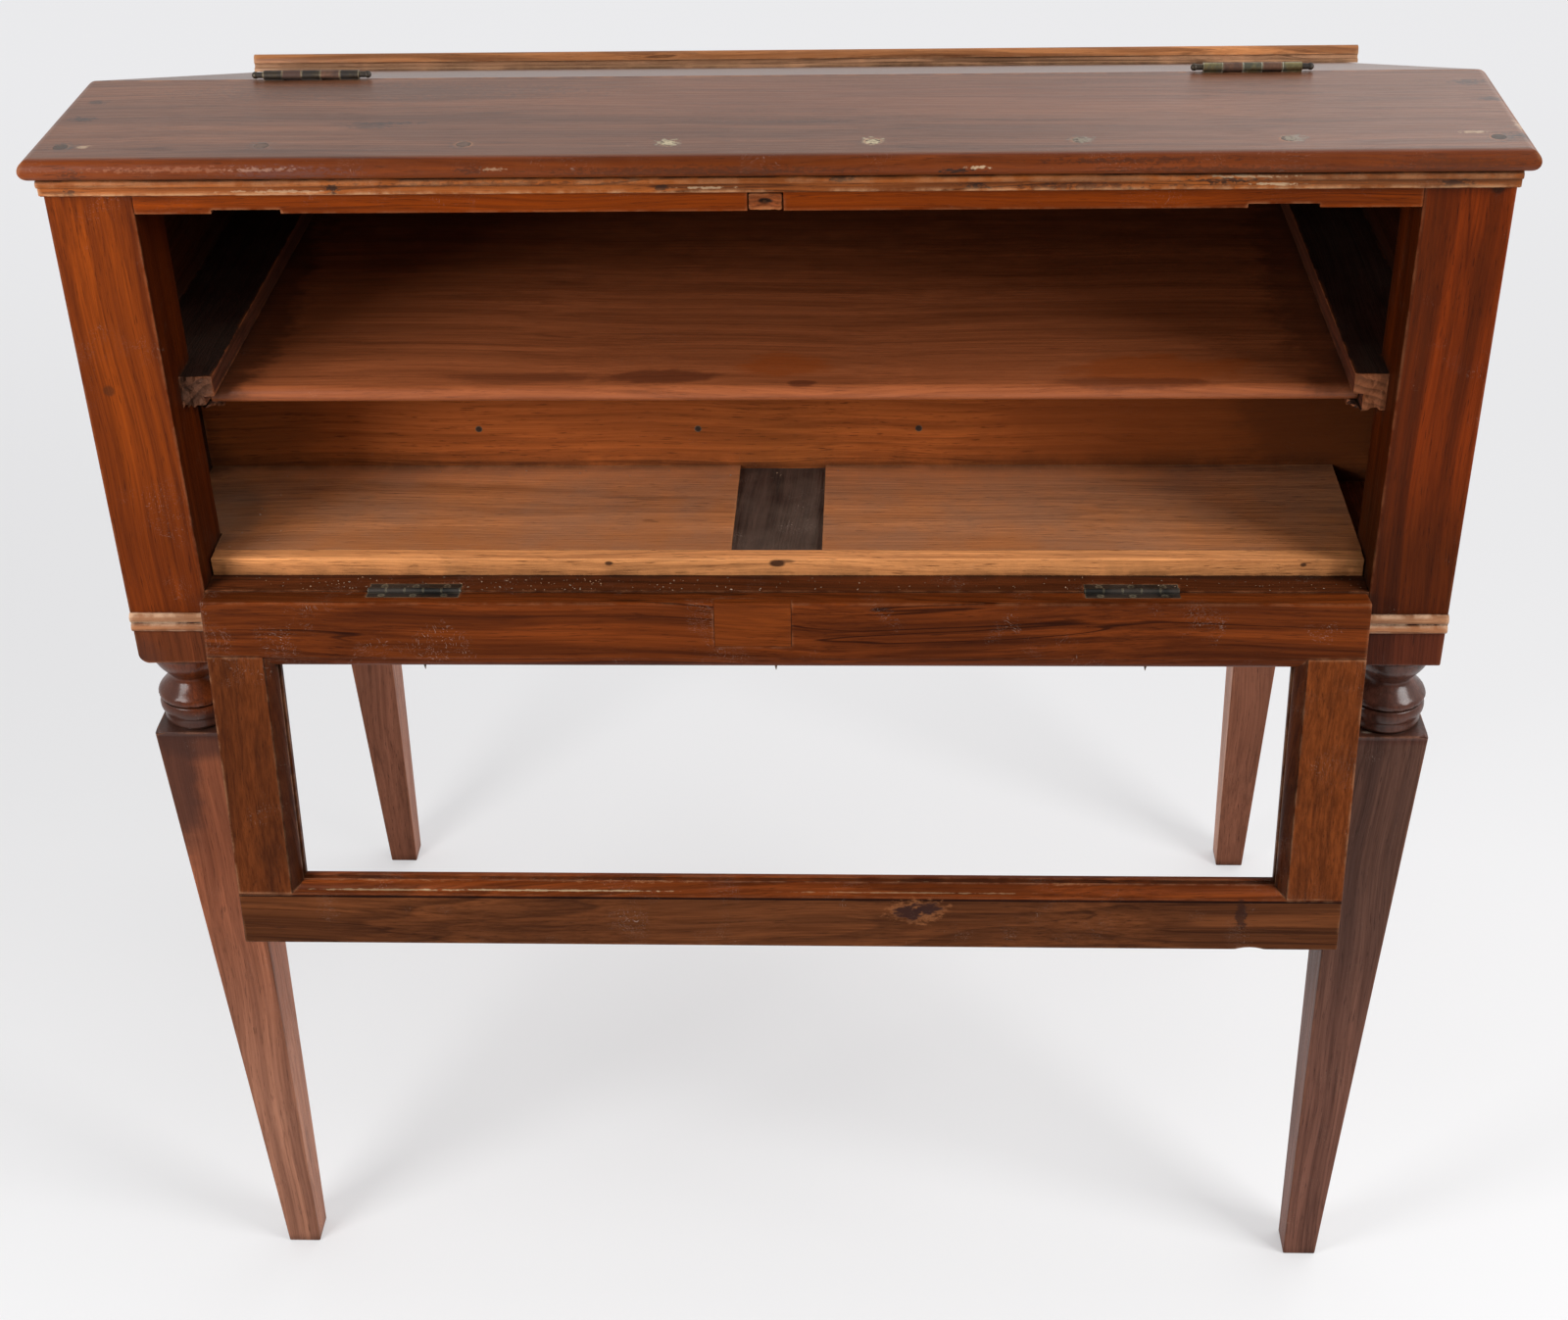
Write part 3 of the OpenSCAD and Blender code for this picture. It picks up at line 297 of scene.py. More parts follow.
def timber(
    name,
    grain,
    light,
    dark,
    shift=ORIGIN,
    tilt=0.8,
    rings=80.0,
    wander=4.0,
    ring_part=0.5,
    vein_part=0.6,
    streak_part=0.5,
    streak_scale=90.0,
    band_part=0.3,
    fibre_part=0.5,
    pore_part=0.5,
    patch_part=0.35,
    worn=(0.45, 0.22, 0.10),
    wear=0.5,
    wear_reach=0.003,
    shade_and_dirt=0.7,
    shade_and_dirt_reach=0.018,
    scuffs=0.25,
    dust=0.0,
    end_colour=None,
    shine=0.2,
    roughness=0.42,
    coat=0.1,
    coat_roughness=0.25,
    polished_band=None,
    polished_top=False,
    bump=0.35,
    zones=(),
    bands=(),
    face=None,
    marks_and_painted_light=(),
    ragged=0.5,
    ragged_scale=60.0,
):
    """Wood with its grain along an axis of the desk. A band is (low, high, soft, tint, amount);
    some bands are painted shade in grooves. The face is (direction, low, high, tint, least
    cosine), a tint on the faces that look one way: painted shade on inner faces, mouldings and
    front faces, painted light on the rear legs' inner faces, rubbing on the runners' inner faces.
    A mark is (centre, radii, colour, amount): a stain, knot, nick, crack or fill, and also
    painted shade and painted highlights. The polished band is (low, high), and a zone with its
    own light and dark colours is (low, high, soft, light, dark). Inner corners get painted
    shade mixed with dirt."""
    material, tree, surface, place = start_material(name)
    turn = [math.radians(a) for a in GRAIN_TURNS[grain]]
    tilted = (turn[0] + math.radians(tilt) * 0.4, turn[1], turn[2] + math.radians(tilt))
    sockets = {"Vector": place, "Location": shift, "Rotation": tilted}
    vector = add(tree, "ShaderNodeMapping", sockets).outputs[0]
    sockets = {"Vector": vector, "Rings": rings, "Wander": wander, "Streak Scale": streak_scale}
    figure = place_group(tree, TIMBER_FIGURE, sockets)
    edge = place_group(tree, EDGE_WEAR, {"Vector": place, "Reach": wear_reach})["Worn"]
    shade_and_dirt_mask = place_group(tree, CORNER_SHADE_AND_DIRT, {"Vector": place, "Reach": shade_and_dirt_reach})["Shade And Dirt"]
    scuff = place_group(tree, SCUFFS, {"Vector": vector, "Amount": scuffs})["Scuff"]
    upward = looking(tree, UP, 0.84, 0.95)

    for low, high, soft, zone_light, zone_dark in zones:
        inside = between(tree, place, low, high, soft)
        light = blend(tree, inside, light, zone_light)
        dark = blend(tree, inside, dark, zone_dark)
    pale = blend(tree, 1.0, light, PALER, "MULTIPLY")
    shadow = blend(tree, 1.0, dark, DEEPER, "MULTIPLY")
    colour = light
    for mark, part, tint, mode in (
        ("Patch", patch_part, pale, "MIX"),
        ("Band", band_part, dark, "MIX"),
        ("Ring", ring_part, dark, "MIX"),
        ("Streak", streak_part, dark, "MIX"),
        ("Vein", vein_part, shadow, "MIX"),
        ("Fibre", fibre_part, FIBRE_SHADE, "MULTIPLY"),
        ("Pore", pore_part, shadow, "MIX"),
    ):
        colour = lay_over(tree, colour, figure[mark], part, tint, mode)
    if end_colour:
        ends = place_group(tree, FACING, {"Direction": GRAIN_AXES[grain]})["Both Ways"]
        ringed = blend(tree, figure["Ring"], end_colour, tuple(c * END_GRAIN_SHADE for c in end_colour))
        colour = blend(tree, ends, colour, ringed)
    for low, high, soft, tint, amount in bands:
        inside = between(tree, place, low, high, soft)
        colour = lay_over(tree, colour, inside, amount, tint, "MULTIPLY")
    if face:
        direction, low, high, tint, start = face
        inside = between(tree, place, low, high, FACE_SOFT)
        face_light_shade_and_rub = looking(tree, direction, start, start + FACE_FADE)
        colour = lay_over(tree, colour, inside, face_light_shade_and_rub, tint, "MULTIPLY")
    if marks_and_painted_light:
        rough = cloud(tree, stretch(tree, place, (0.5, 1.0, 1.0)), ragged_scale, 5.0, 0.65)
        ragged_edge = times(tree, maths(tree, "SUBTRACT", rough, 0.5), ragged)
    for centre, radii, tint, amount in marks_and_painted_light:
        sockets = {"Vector": place, "Centre": centre, "Radii": radii, "Shift": ragged_edge}
        inside = place_group(tree, LOCAL_PATCH, sockets)["Inside"]
        colour = lay_over(tree, colour, inside, amount, tint)
    if dust:
        uneven = ramp(tree, cloud(tree, place, 11.0, 5.0, 0.65), 0.3, 0.7)
        settled = times(tree, uneven, upward)
        colour = lay_over(tree, colour, settled, dust, DUST)
    rubbed = times(tree, edge, wear)
    colour = blend(tree, rubbed, colour, worn)
    # Inner corners and joints painted dark: painted shade mixed with dirt.
    colour = lay_over(tree, colour, shade_and_dirt_mask, shade_and_dirt, SHADE_AND_DIRT_COLOUR)
    colour = blend(tree, scuff, colour, SCRATCH)
    tree.links.new(colour, surface.inputs["Base Color"])

    dull = maths(tree, "MULTIPLY_ADD", figure["Fibre"], 0.10, roughness - 0.05)
    dull = maths(tree, "MULTIPLY_ADD", rubbed, 0.18, dull)
    dull = maths(tree, "MULTIPLY_ADD", scuff, 0.35, dull)
    tree.links.new(dull, surface.inputs["Roughness"])
    hollow = maths(tree, "MULTIPLY_ADD", figure["Pore"], -0.6, figure["Fibre"])
    hollow = maths(tree, "MULTIPLY_ADD", figure["Patch"], 0.8, hollow)
    sockets = {"Strength": bump, "Distance": GRAIN_DEPTH, "Height": hollow}
    tree.links.new(add(tree, "ShaderNodeBump", sockets).outputs[0], surface.inputs["Normal"])
    surface.inputs["Coat Weight"].default_value = coat
    glossy = upward if polished_top else None
    if polished_band:
        glossy = between(tree, place, *polished_band, POLISH_SOFT)
    if glossy is not None:
        tree.links.new(times(tree, glossy, coat), surface.inputs["Coat Weight"])
    surface.inputs["Coat Roughness"].default_value = coat_roughness
    surface.inputs["Specular IOR Level"].default_value = shine
    surface.inputs["IOR"].default_value = WOOD_IOR
    return material


def worn_metal(name, base, stain, bright, metallic=0.85, roughness=0.5, change=24.0, rub=0.8):
    """Old metal: tarnish in patches, bright where hands and knuckles rub."""
    material, tree, surface, place = start_material(name)
    patches = ramp(tree, cloud(tree, place, change, 4.0, 0.6, 0.3), 0.40, 0.60)
    fine = cloud(tree, place, 420.0, 4.0, 0.65)
    colour = blend(tree, patches, base, stain)
    colour = blend(tree, ramp(tree, fine, 0.35, 0.75, 0.0, 0.5), colour, tuple(c * 0.4 for c in base))
    edge = place_group(tree, EDGE_WEAR, {"Vector": place, "Reach": 0.0012, "Breakup": 0.42})["Worn"]
    rubbed = times(tree, edge, rub)
    colour = blend(tree, rubbed, colour, bright)
    # Inner corners of the metal painted dark: painted shade mixed with dirt.
    shade_and_dirt_mask = place_group(tree, CORNER_SHADE_AND_DIRT, {"Vector": place, "Reach": 0.006})["Shade And Dirt"]
    colour = lay_over(tree, colour, shade_and_dirt_mask, 0.75, METAL_SHADE_AND_DIRT)
    tree.links.new(colour, surface.inputs["Base Color"])
    dull = maths(tree, "MULTIPLY_ADD", patches, 0.16, roughness)
    tree.links.new(maths(tree, "MULTIPLY_ADD", rubbed, -0.22, dull), surface.inputs["Roughness"])
    shine = maths(tree, "MULTIPLY_ADD", patches, -0.35, metallic)
    tree.links.new(shine, surface.inputs["Metallic"])
    sockets = {"Strength": 0.5, "Distance": SCRATCH_DEPTH, "Height": fine}
    tree.links.new(add(tree, "ShaderNodeBump", sockets).outputs[0], surface.inputs["Normal"])
    return material


# Finishes of this desk; some colours carry painted shade and painted highlights, noted where they stand
LEFTWARD = (-1.0, 0.0, 0.0)
RIGHTWARD = (1.0, 0.0, 0.0)
INWARD = {"left": RIGHTWARD, "right": LEFTWARD}
FORWARD = (0.0, -1.0, 0.0)
NECK_LOW = 0.6185
NECK_HIGH = 0.6925
CASE_LOW = 0.765
CASE_HIGH = 1.14
BLOCK_HIGH = 0.7335
RING_HIGH = 0.634
LOWER_END = (0.69, 0.79)
LOWER_FADE = 0.12
BELOW_FLOOR = -1.0
ABOVE_ALL = 2.0
FOOT_HIGH = 0.14
FOOT_FADE = 0.36
CRISP = 0.001
STRAIGHT = 0.55
LEANING = 0.12


def post_zones(lower, block, neck, rings, leg, foot=None):
    """Colours of a post's lower end and all below it, each a (light, dark) pair."""
    zones = [(*LOWER_END, LOWER_FADE, *lower), (BELOW_FLOOR, NECK_LOW, CRISP, *leg)]
    if foot:
        zones.append((BELOW_FLOOR, FOOT_HIGH, FOOT_FADE, *foot))
    zones += [(NECK_LOW, NECK_HIGH, 2 * CRISP, *neck), (NECK_LOW, RING_HIGH, 8 * CRISP, *rings),
              (NECK_HIGH, BLOCK_HIGH, 2 * CRISP, *block)]
    return tuple(zones)


# Posts and legs
LEFT_LOWER = ((0.180, 0.031, 0.0025), (0.068, 0.011, 0.002))
LEFT_BLOCK = ((0.175, 0.042, 0.012), (0.064, 0.016, 0.005))
LEFT_NECK = ((0.172, 0.036, 0.008), (0.070, 0.015, 0.004))
LEFT_RINGS = ((0.105, 0.028, 0.013), (0.040, 0.012, 0.006))
LEFT_LEG = ((0.345, 0.108, 0.050), (0.150, 0.045, 0.022))
LEFT_FOOT = ((0.425, 0.186, 0.112), (0.205, 0.083, 0.053))
POST = dict(light=(0.225, 0.040, 0.003), dark=(0.085, 0.014, 0.0025), rings=70.0, wander=7.0,
            ring_part=0.28, vein_part=0.30, streak_part=0.32, streak_scale=110.0, band_part=0.6,
            pore_part=0.6, worn=(0.36, 0.14, 0.06), wear=0.45, scuffs=0.3,
            shine=0.07, coat=0.4, coat_roughness=0.2, polished_band=(NECK_LOW, NECK_HIGH),
            zones=post_zones(LEFT_LOWER, LEFT_BLOCK, LEFT_NECK, LEFT_RINGS, LEFT_LEG, LEFT_FOOT))
RIGHT_LOWER = ((0.090, 0.015, 0.0012), (0.032, 0.006, 0.001))
RIGHT_BLOCK = ((0.120, 0.026, 0.010), (0.045, 0.011, 0.005))
RIGHT_NECK = ((0.104, 0.037, 0.024), (0.040, 0.016, 0.011))
RIGHT_LEG = ((0.137, 0.063, 0.043), (0.055, 0.026, 0.020))
RIGHT_FOOT = ((0.226, 0.095, 0.064), (0.106, 0.043, 0.030))
RIGHT_POST = {**POST, "light": (0.184, 0.026, 0.002), "dark": (0.050, 0.009, 0.0015), "coat": 0.45,
              "zones": post_zones(RIGHT_LOWER, RIGHT_BLOCK, RIGHT_NECK, RIGHT_NECK, RIGHT_LEG,
                                  RIGHT_FOOT)}
LEG_TOP = 0.62
REAR_LEG = ((0.235, 0.088, 0.050), (0.115, 0.042, 0.024))
REAR_POST = {**POST, "ring_part": 0.15, "streak_part": 0.15, "band_part": 0.3,
             "zones": post_zones(LEFT_LOWER, LEFT_BLOCK, LEFT_NECK, LEFT_RINGS, REAR_LEG)}
LEG_DIRT = (0.060, 0.024, 0.017)
# Painted shade on the front legs' inner faces beside the case: INNER_SHADE on the left leg, a greyer tint on
# the right leg.
INNER_SHADE = (0.34, 0.31, 0.36)
BARE_LIP = (0.55, 0.47, 0.36)
FINISHES = {
    "front_leg_left": timber(
        "Left front leg", "z", shift=(0.3, 0.11, 0.05), tilt=0.6,
        face=(RIGHTWARD, CASE_LOW, CASE_HIGH, INNER_SHADE, STRAIGHT),
        marks_and_painted_light=(((-0.520, -0.300, 0.945), (0.006, 0.01, 0.006), (0.060, 0.016, 0.005), 0.7),
                ((-0.535, -0.290, 0.600), (0.034, 0.060, 0.140), LEG_DIRT, 0.8),
                ((-0.500, -0.290, 0.617), (0.060, 0.060, 0.030), LEG_DIRT, 0.7)), **POST),
    "front_leg_right": timber(
        "Right front leg", "z", shift=(1.9, 0.07, 0.15), tilt=-0.7,
        face=(LEFTWARD, CASE_LOW, CASE_HIGH, (0.50, 0.55, 0.60), STRAIGHT),
        marks_and_painted_light=(((0.482, -0.30, 0.98), (0.012, 0.03, 0.20), (0.034, 0.008, 0.002), 0.45),
                ((0.490, -0.293, 0.6195), (0.010, 0.004, 0.0018), BARE_LIP, 1.0),
                ((0.5265, -0.300, 1.105), (0.006, 0.01, 0.006), (0.030, 0.008, 0.003), 0.8)),
        **RIGHT_POST),
}
# The rear legs' inner faces are painted lighter: a painted highlight.
for side, shift, tint in (("left", (4.1, 0.13, 0.1), (1.9, 2.1, 2.2)),
                          ("right", (5.3, 0.09, 0.1), (2.5, 3.2, 3.6))):
    FINISHES["rear_leg_" + side] = timber(
        side.title() + " rear leg", "z", shift=shift,
        face=(INWARD[side], 0.0, LEG_TOP, tint, STRAIGHT), **REAR_POST)

# Sides and rails
SIDE = {**POST, "coat": 0.0, "polished_band": None, "zones": (), "streak_part": 0.45,
        "shade_and_dirt_reach": 0.03, "light": (0.150, 0.036, 0.010), "dark": (0.050, 0.013, 0.005)}
# The sides' inner faces are painted darker: painted shade inside the case.
PAINTED_INSIDE_SHADE = (0.30, 0.30, 0.42)
for side, shift in (("left", (0.7, 0.2, 0.3)), ("right", (2.7, 0.1, 0.3))):
    FINISHES["side_panel_" + side] = timber(
        side.title() + " side", "y", shift=shift,
        face=(INWARD[side], 0.0, CASE_HIGH, PAINTED_INSIDE_SHADE, STRAIGHT), **SIDE)
RAIL = dict(light=(0.275, 0.046, 0.002), dark=(0.070, 0.012, 0.002), wander=6.0,
            ring_part=0.4, vein_part=0.55, streak_part=0.45, band_part=0.5, worn=(0.36, 0.14, 0.06),
            shine=0.06, coat=0.0)
FINISHES["top_front_rail"] = timber(
    "Top rail", "x", shift=(0.4, 0.2, 0.1),
    marks_and_painted_light=(((-0.0005, -0.300, 1.1285), (0.009, 0.01, 0.006), (0.020, 0.014, 0.012), 0.8),
            ((0.028, -0.300, 1.112), (0.010, 0.01, 0.008), (0.040, 0.010, 0.004), 0.6)), **RAIL)
FINISHES["bottom_front_rail"] = timber(
    "Bottom rail", "x", shift=(1.4, 0.2, 0.1),
    **{**RAIL, "light": (0.125, 0.030, 0.008), "dark": (0.040, 0.011, 0.004), "scuffs": 0.6,
       "roughness": 0.5, "shade_and_dirt": 0.9})

# Keep block, cornice strip, astragal and lid lip
keep_low, keep_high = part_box("keep_patch")
KEEP_HOLLOW = tuple((a + b) / 2 for a, b in zip(keep_low, keep_high))
# The middle of the keep's hollow is painted near-black: painted shade in the hollow.
FINISHES["keep_patch"] = timber(
    "Keep patch", "x", (0.300, 0.075, 0.018), (0.090, 0.022, 0.006), rings=260.0, ring_part=0.4,
    streak_part=0.3, wear=0.8, worn=(0.50, 0.20, 0.08), shade_and_dirt=0.9, shade_and_dirt_reach=0.006,
    bump=1.0, coat=0.0, shine=0.1, ragged=1.0,
    marks_and_painted_light=((KEEP_HOLLOW, (0.0075, 0.02, 0.0032), (0.014, 0.008, 0.006), 0.95),))
STRIP = dict(light=(0.330, 0.088, 0.016), dark=(0.080, 0.020, 0.005), rings=60.0, wander=8.0,
             ring_part=0.35, vein_part=0.7, streak_part=0.65, streak_scale=110.0,
             worn=(0.56, 0.30, 0.15), wear=0.7, wear_reach=0.004, scuffs=0.45, roughness=0.5,
             coat=0.0, shine=0.12, shade_and_dirt=0.95, shade_and_dirt_reach=0.008)
NICK = (0.026, 0.012, 0.008)
PALE_NICK = (0.620, 0.440, 0.270)
FRONT = -0.305
FRONT_DEEP = 0.03


def front_spots(spots, high):
    """Marks on a front edge, each (sideways place, drop, half length, half height, colour, amount)."""
    return tuple(((x, FRONT, high - drop), (length, FRONT_DEEP, tall), colour, amount)
                 for x, drop, length, tall, colour, amount in spots)


def level_spots(spots, height, thick=0.02):
    """Marks on a level face, each (x, y, half length, half depth, colour, amount)."""
    return tuple(((x, y, height), (length, deep, thick), colour, amount)
                 for x, y, length, deep, colour, amount in spots)


FINISHES["cornice_strip"] = timber(
    "Cornice strip", "x", shift=(0.1, 0.1, 0.0), ragged=5.0, ragged_scale=420.0,
    marks_and_painted_light=front_spots((
        (0.460, 0.008, 0.170, 0.020, (0.150, 0.050, 0.016), 0.6),
        (-0.321, 0.007, 0.007, 0.0050, NICK, 0.9),
        (-0.080, 0.009, 0.005, 0.0030, NICK, 0.8),
        (-0.516, 0.010, 0.005, 0.0030, NICK, 0.7),
        (0.051, 0.002, 0.010, 0.0020, NICK, 0.8),
        (0.150, 0.008, 0.011, 0.0030, NICK, 0.9),
        (0.330, 0.005, 0.028, 0.0032, NICK, 0.8),
        (0.345, 0.002, 0.030, 0.0010, PALE_NICK, 0.5),
        (0.365, 0.009, 0.016, 0.0012, PALE_NICK, 0.6),
        (-0.045, 0.009, 0.020, 0.0010, PALE_NICK, 0.5),
        (-0.360, 0.010, 0.040, 0.0011, PALE_NICK, 0.35),
        (-0.200, 0.004, 0.090, 0.0020, NICK, 0.5),
        (0.220, 0.010, 0.050, 0.0030, NICK, 0.6),
        (0.492, 0.009, 0.012, 0.0035, NICK, 0.8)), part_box("cornice_strip")[1][2]), **STRIP)
bead_low, bead_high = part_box("astragal")
BEAD_GAP = bead_low[2] + 0.52 * (bead_high[2] - bead_low[2])
FINISHES["astragal"] = timber(
    "Astragal", "x", shift=(1.1, 0.1, 0.0),
    # A dark line is painted in the gap between the two beads: painted shade in the groove.
    bands=((BEAD_GAP - 0.0006, BEAD_GAP + 0.0006, 0.0007, (0.12, 0.08, 0.07), 1.0),
           (bead_low[2] - 0.01, BEAD_GAP, 0.001, (0.92, 0.80, 0.70), 1.0)),
    **{**STRIP, "light": (0.470, 0.220, 0.106), "dark": (0.140, 0.046, 0.018),
       "worn": (0.70, 0.46, 0.30)})
lip_low, lip_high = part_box("lid_lip")
LIP_STEP = lip_low[2] + 0.58 * (lip_high[2] - lip_low[2])
FINISHES["lid_lip"] = timber(
    "Lid lip", "x", shift=(0.5, 0.2, 0.0),
    # Below the step the lip is paler: dust and wear, with painted light on the hollow that faces down.
    zones=((BELOW_FLOOR, LIP_STEP, 0.0012, (0.700, 0.370, 0.200), (0.290, 0.145, 0.075)),),
    **{**STRIP, "light": (0.620, 0.250, 0.090), "dark": (0.200, 0.073, 0.028), "coat": 0.15,
       "roughness": 0.42})

# Top board with its filled nail holes
# The faces of the top and lid boards that look forward are painted darker and redder than their tops: painted
# shade.
TOP = dict(light=(0.212, 0.079, 0.035), dark=(0.075, 0.027, 0.013), rings=70.0, wander=5.0,
           ring_part=0.25, vein_part=0.3, streak_part=0.4, band_part=0.35, fibre_part=0.4,
           patch_part=0.4, worn=(0.40, 0.17, 0.075), wear=0.8, wear_reach=0.004, scuffs=0.35,
           roughness=0.40, shine=0.15, coat=0.58, coat_roughness=0.36, polished_top=True,
           end_colour=(0.120, 0.036, 0.014),
           face=(FORWARD, 0.0, ABOVE_ALL, (0.86, 0.47, 0.17), LEANING))
CRACK = (0.030, 0.016, 0.012)
DARK_EDGE = (0.060, 0.018, 0.006)
PLUG_RING = (0.050, 0.028, 0.021)
PLUG_PLACES = (-0.522, -0.376, -0.226, -0.075, 0.074, 0.226, 0.378, 0.527)
PLUG_ROW = -0.2868
TOP_HIGH = 1.139
GREY_FILL = (0.150, 0.088, 0.062)
DARK_FILL = (0.070, 0.052, 0.042)
WAX_FILL = (0.560, 0.460, 0.290)
MIXED_FILL = (0.260, 0.210, 0.150)
PLUG_FILLS = (DARK_FILL, GREY_FILL, GREY_FILL, WAX_FILL, WAX_FILL, MIXED_FILL, MIXED_FILL, DARK_FILL)
PLUG_RIM = (0.0100, 0.0090)
PLUG_FACE = (0.0082, 0.0072)
PLUG_OFF = (0.0006, 0.0004)
CHIP = 0.006
plug_rings = tuple((x, PLUG_ROW, *PLUG_RIM, PLUG_RING, 0.75) for x in PLUG_PLACES)
plug_fills = tuple((x + PLUG_OFF[0], PLUG_ROW + PLUG_OFF[1], *PLUG_FACE, fill, 0.75)
                   for x, fill in zip(PLUG_PLACES, PLUG_FILLS))
FINISHES["top_board"] = timber(
    "Top board", "x", shift=(0.2, 0.2, 0.0),
    marks_and_painted_light=(*level_spots((
                (-0.290, -0.241, 0.034, 0.0028, CRACK, 0.85),
                (-0.300, -0.248, 0.022, 0.0040, CRACK, 0.6),
                (-0.525, -0.227, 0.011, 0.006, CRACK, 0.8),
                (-0.525, -0.190, 0.008, 0.005, CRACK, 0.7),
                (0.528, -0.168, 0.014, 0.007, CRACK, 0.7),
                (0.537, -0.206, 0.012, 0.005, CRACK, 0.7)), TOP_HIGH, CHIP),
            *level_spots((
                (0.10, -0.19, 0.30, 0.05, (0.200, 0.070, 0.035), 0.4),
                (-0.30, -0.17, 0.16, 0.02, (0.080, 0.040, 0.028), 0.5)), TOP_HIGH),
            *level_spots((
                (0.545, -0.284, 0.018, 0.006, CRACK, 0.8),
                (0.510, -0.276, 0.010, 0.003, PALE_NICK, 0.5),
                (0.545, -0.262, 0.004, 0.010, PALE_NICK, 0.4),
                (-0.508, PLUG_ROW, 0.006, 0.003, PALE_NICK, 0.5),
                *plug_rings, *plug_fills), TOP_HIGH, CHIP),
            *front_spots((
                (-0.350, 0.011, 0.055, 0.0060, (0.120, 0.045, 0.034), 0.6),
                (-0.510, 0.013, 0.012, 0.0060, NICK, 0.5),
                # Two pale streaks along the front edge are painted highlights.
                (-0.430, 0.008, 0.070, 0.0022, (0.40, 0.17, 0.09), 0.25),
                (-0.370, 0.008, 0.030, 0.0016, (0.55, 0.36, 0.27), 0.2),
                (-0.215, 0.010, 0.014, 0.0030, NICK, 0.5),
                (-0.200, 0.009, 0.010, 0.0014, PALE_NICK, 0.3),
                (0.136, 0.013, 0.016, 0.0026, NICK, 0.9),
                (0.150, 0.010, 0.009, 0.0013, PALE_NICK, 0.7),
                (0.260, 0.006, 0.070, 0.0022, NICK, 0.5),
                (-0.060, 0.012, 0.120, 0.0045, DARK_EDGE, 0.55),
                (0.330, 0.013, 0.080, 0.0035, DARK_EDGE, 0.5),
                (0.490, 0.010, 0.060, 0.0055, (0.080, 0.022, 0.008), 0.55)), TOP_HIGH)),
    ragged=4.5, ragged_scale=420.0, **TOP)
FINISHES["nail_plugs"] = timber(
    "Nail filler", "x", (0.130, 0.078, 0.055), (0.040, 0.026, 0.020), rings=700.0, wander=30.0,
    ring_part=0.8, streak_scale=500.0, streak_part=0.7, wear=0.0, shade_and_dirt=0.0, roughness=0.6,
    coat=0.3, ragged=7.0, ragged_scale=500.0,
    marks_and_painted_light=tuple(((x, PLUG_ROW, TOP_HIGH), (0.007, 0.007, 0.009), fill, 0.9)
                 for x, fill in zip(PLUG_PLACES, PLUG_FILLS)))

# Shelf and its runners
SHELF_HIGH = 0.924
DRY_SHELF = (0.290, 0.060, 0.011)
WET_MARK = (0.120, 0.030, 0.012)
# Painted shade for the back of the shelf, which lies under the top.
PAINTED_BACK_SHADE = (0.110, 0.029, 0.010)
FINISHES["shelf"] = timber(
    "Shelf", "x", (0.423, 0.120, 0.041), (0.150, 0.038, 0.012), shift=(0.9, 0.15, 0.0),
    rings=45.0, wander=8.0, ring_part=0.2, vein_part=0.25, streak_part=0.3, streak_scale=75.0,
    band_part=0.35, fibre_part=0.45, pore_part=0.4, patch_part=0.25, worn=(0.42, 0.118, 0.034),
    wear=0.7, wear_reach=0.006, roughness=0.40, shine=0.15, coat=0.2, scuffs=0.2, ragged=1.3,
    marks_and_painted_light=level_spots((
        (0.003, -0.213, 0.044, 0.026, DRY_SHELF, 0.75),
        (-0.098, -0.233, 0.060, 0.016, WET_MARK, 0.75),
        (-0.210, -0.236, 0.070, 0.012, WET_MARK, 0.5),
        (0.018, -0.246, 0.012, 0.006, WET_MARK, 0.8),
        (0.305, -0.222, 0.085, 0.030, DRY_SHELF, 0.7),
        (0.275, -0.246, 0.080, 0.010, WET_MARK, 0.6),
        (0.0, 0.22, 1.20, 0.31, PAINTED_BACK_SHADE, 0.25),
        (0.0, 0.29, 1.20, 0.31, PAINTED_BACK_SHADE, 0.35),
        (0.0, 0.36, 1.20, 0.31, PAINTED_BACK_SHADE, 0.35),
        # The shelf's ends beside the sides are painted darker: painted shade.
        (-0.455, -0.10, 0.05, 0.30, (0.060, 0.018, 0.008), 0.7),
        (0.455, -0.06, 0.06, 0.30, (0.070, 0.020, 0.009), 0.6)), SHELF_HIGH))
RUNNER = dict(light=(0.040, 0.013, 0.008), dark=(0.020, 0.008, 0.005), rings=120.0,
              worn=(0.26, 0.075, 0.022), wear=0.8, roughness=0.6, coat=0.0,
              shine=0.15, dust=0.12, scuffs=0.25)
RUBBED_SIDE = (2.8, 2.2, 1.6)
for side, shift, end_colour in (("left", (0.1, 0.1, 0.1), (0.170, 0.068, 0.036)),
                                ("right", (0.9, 0.05, 0.1), (0.360, 0.122, 0.050))):
    FINISHES["runner_" + side] = timber(
        side.title() + " runner", "y", shift=shift, end_colour=end_colour,
        face=(INWARD[side], 0.0, CASE_HIGH, RUBBED_SIDE, STRAIGHT), **RUNNER)

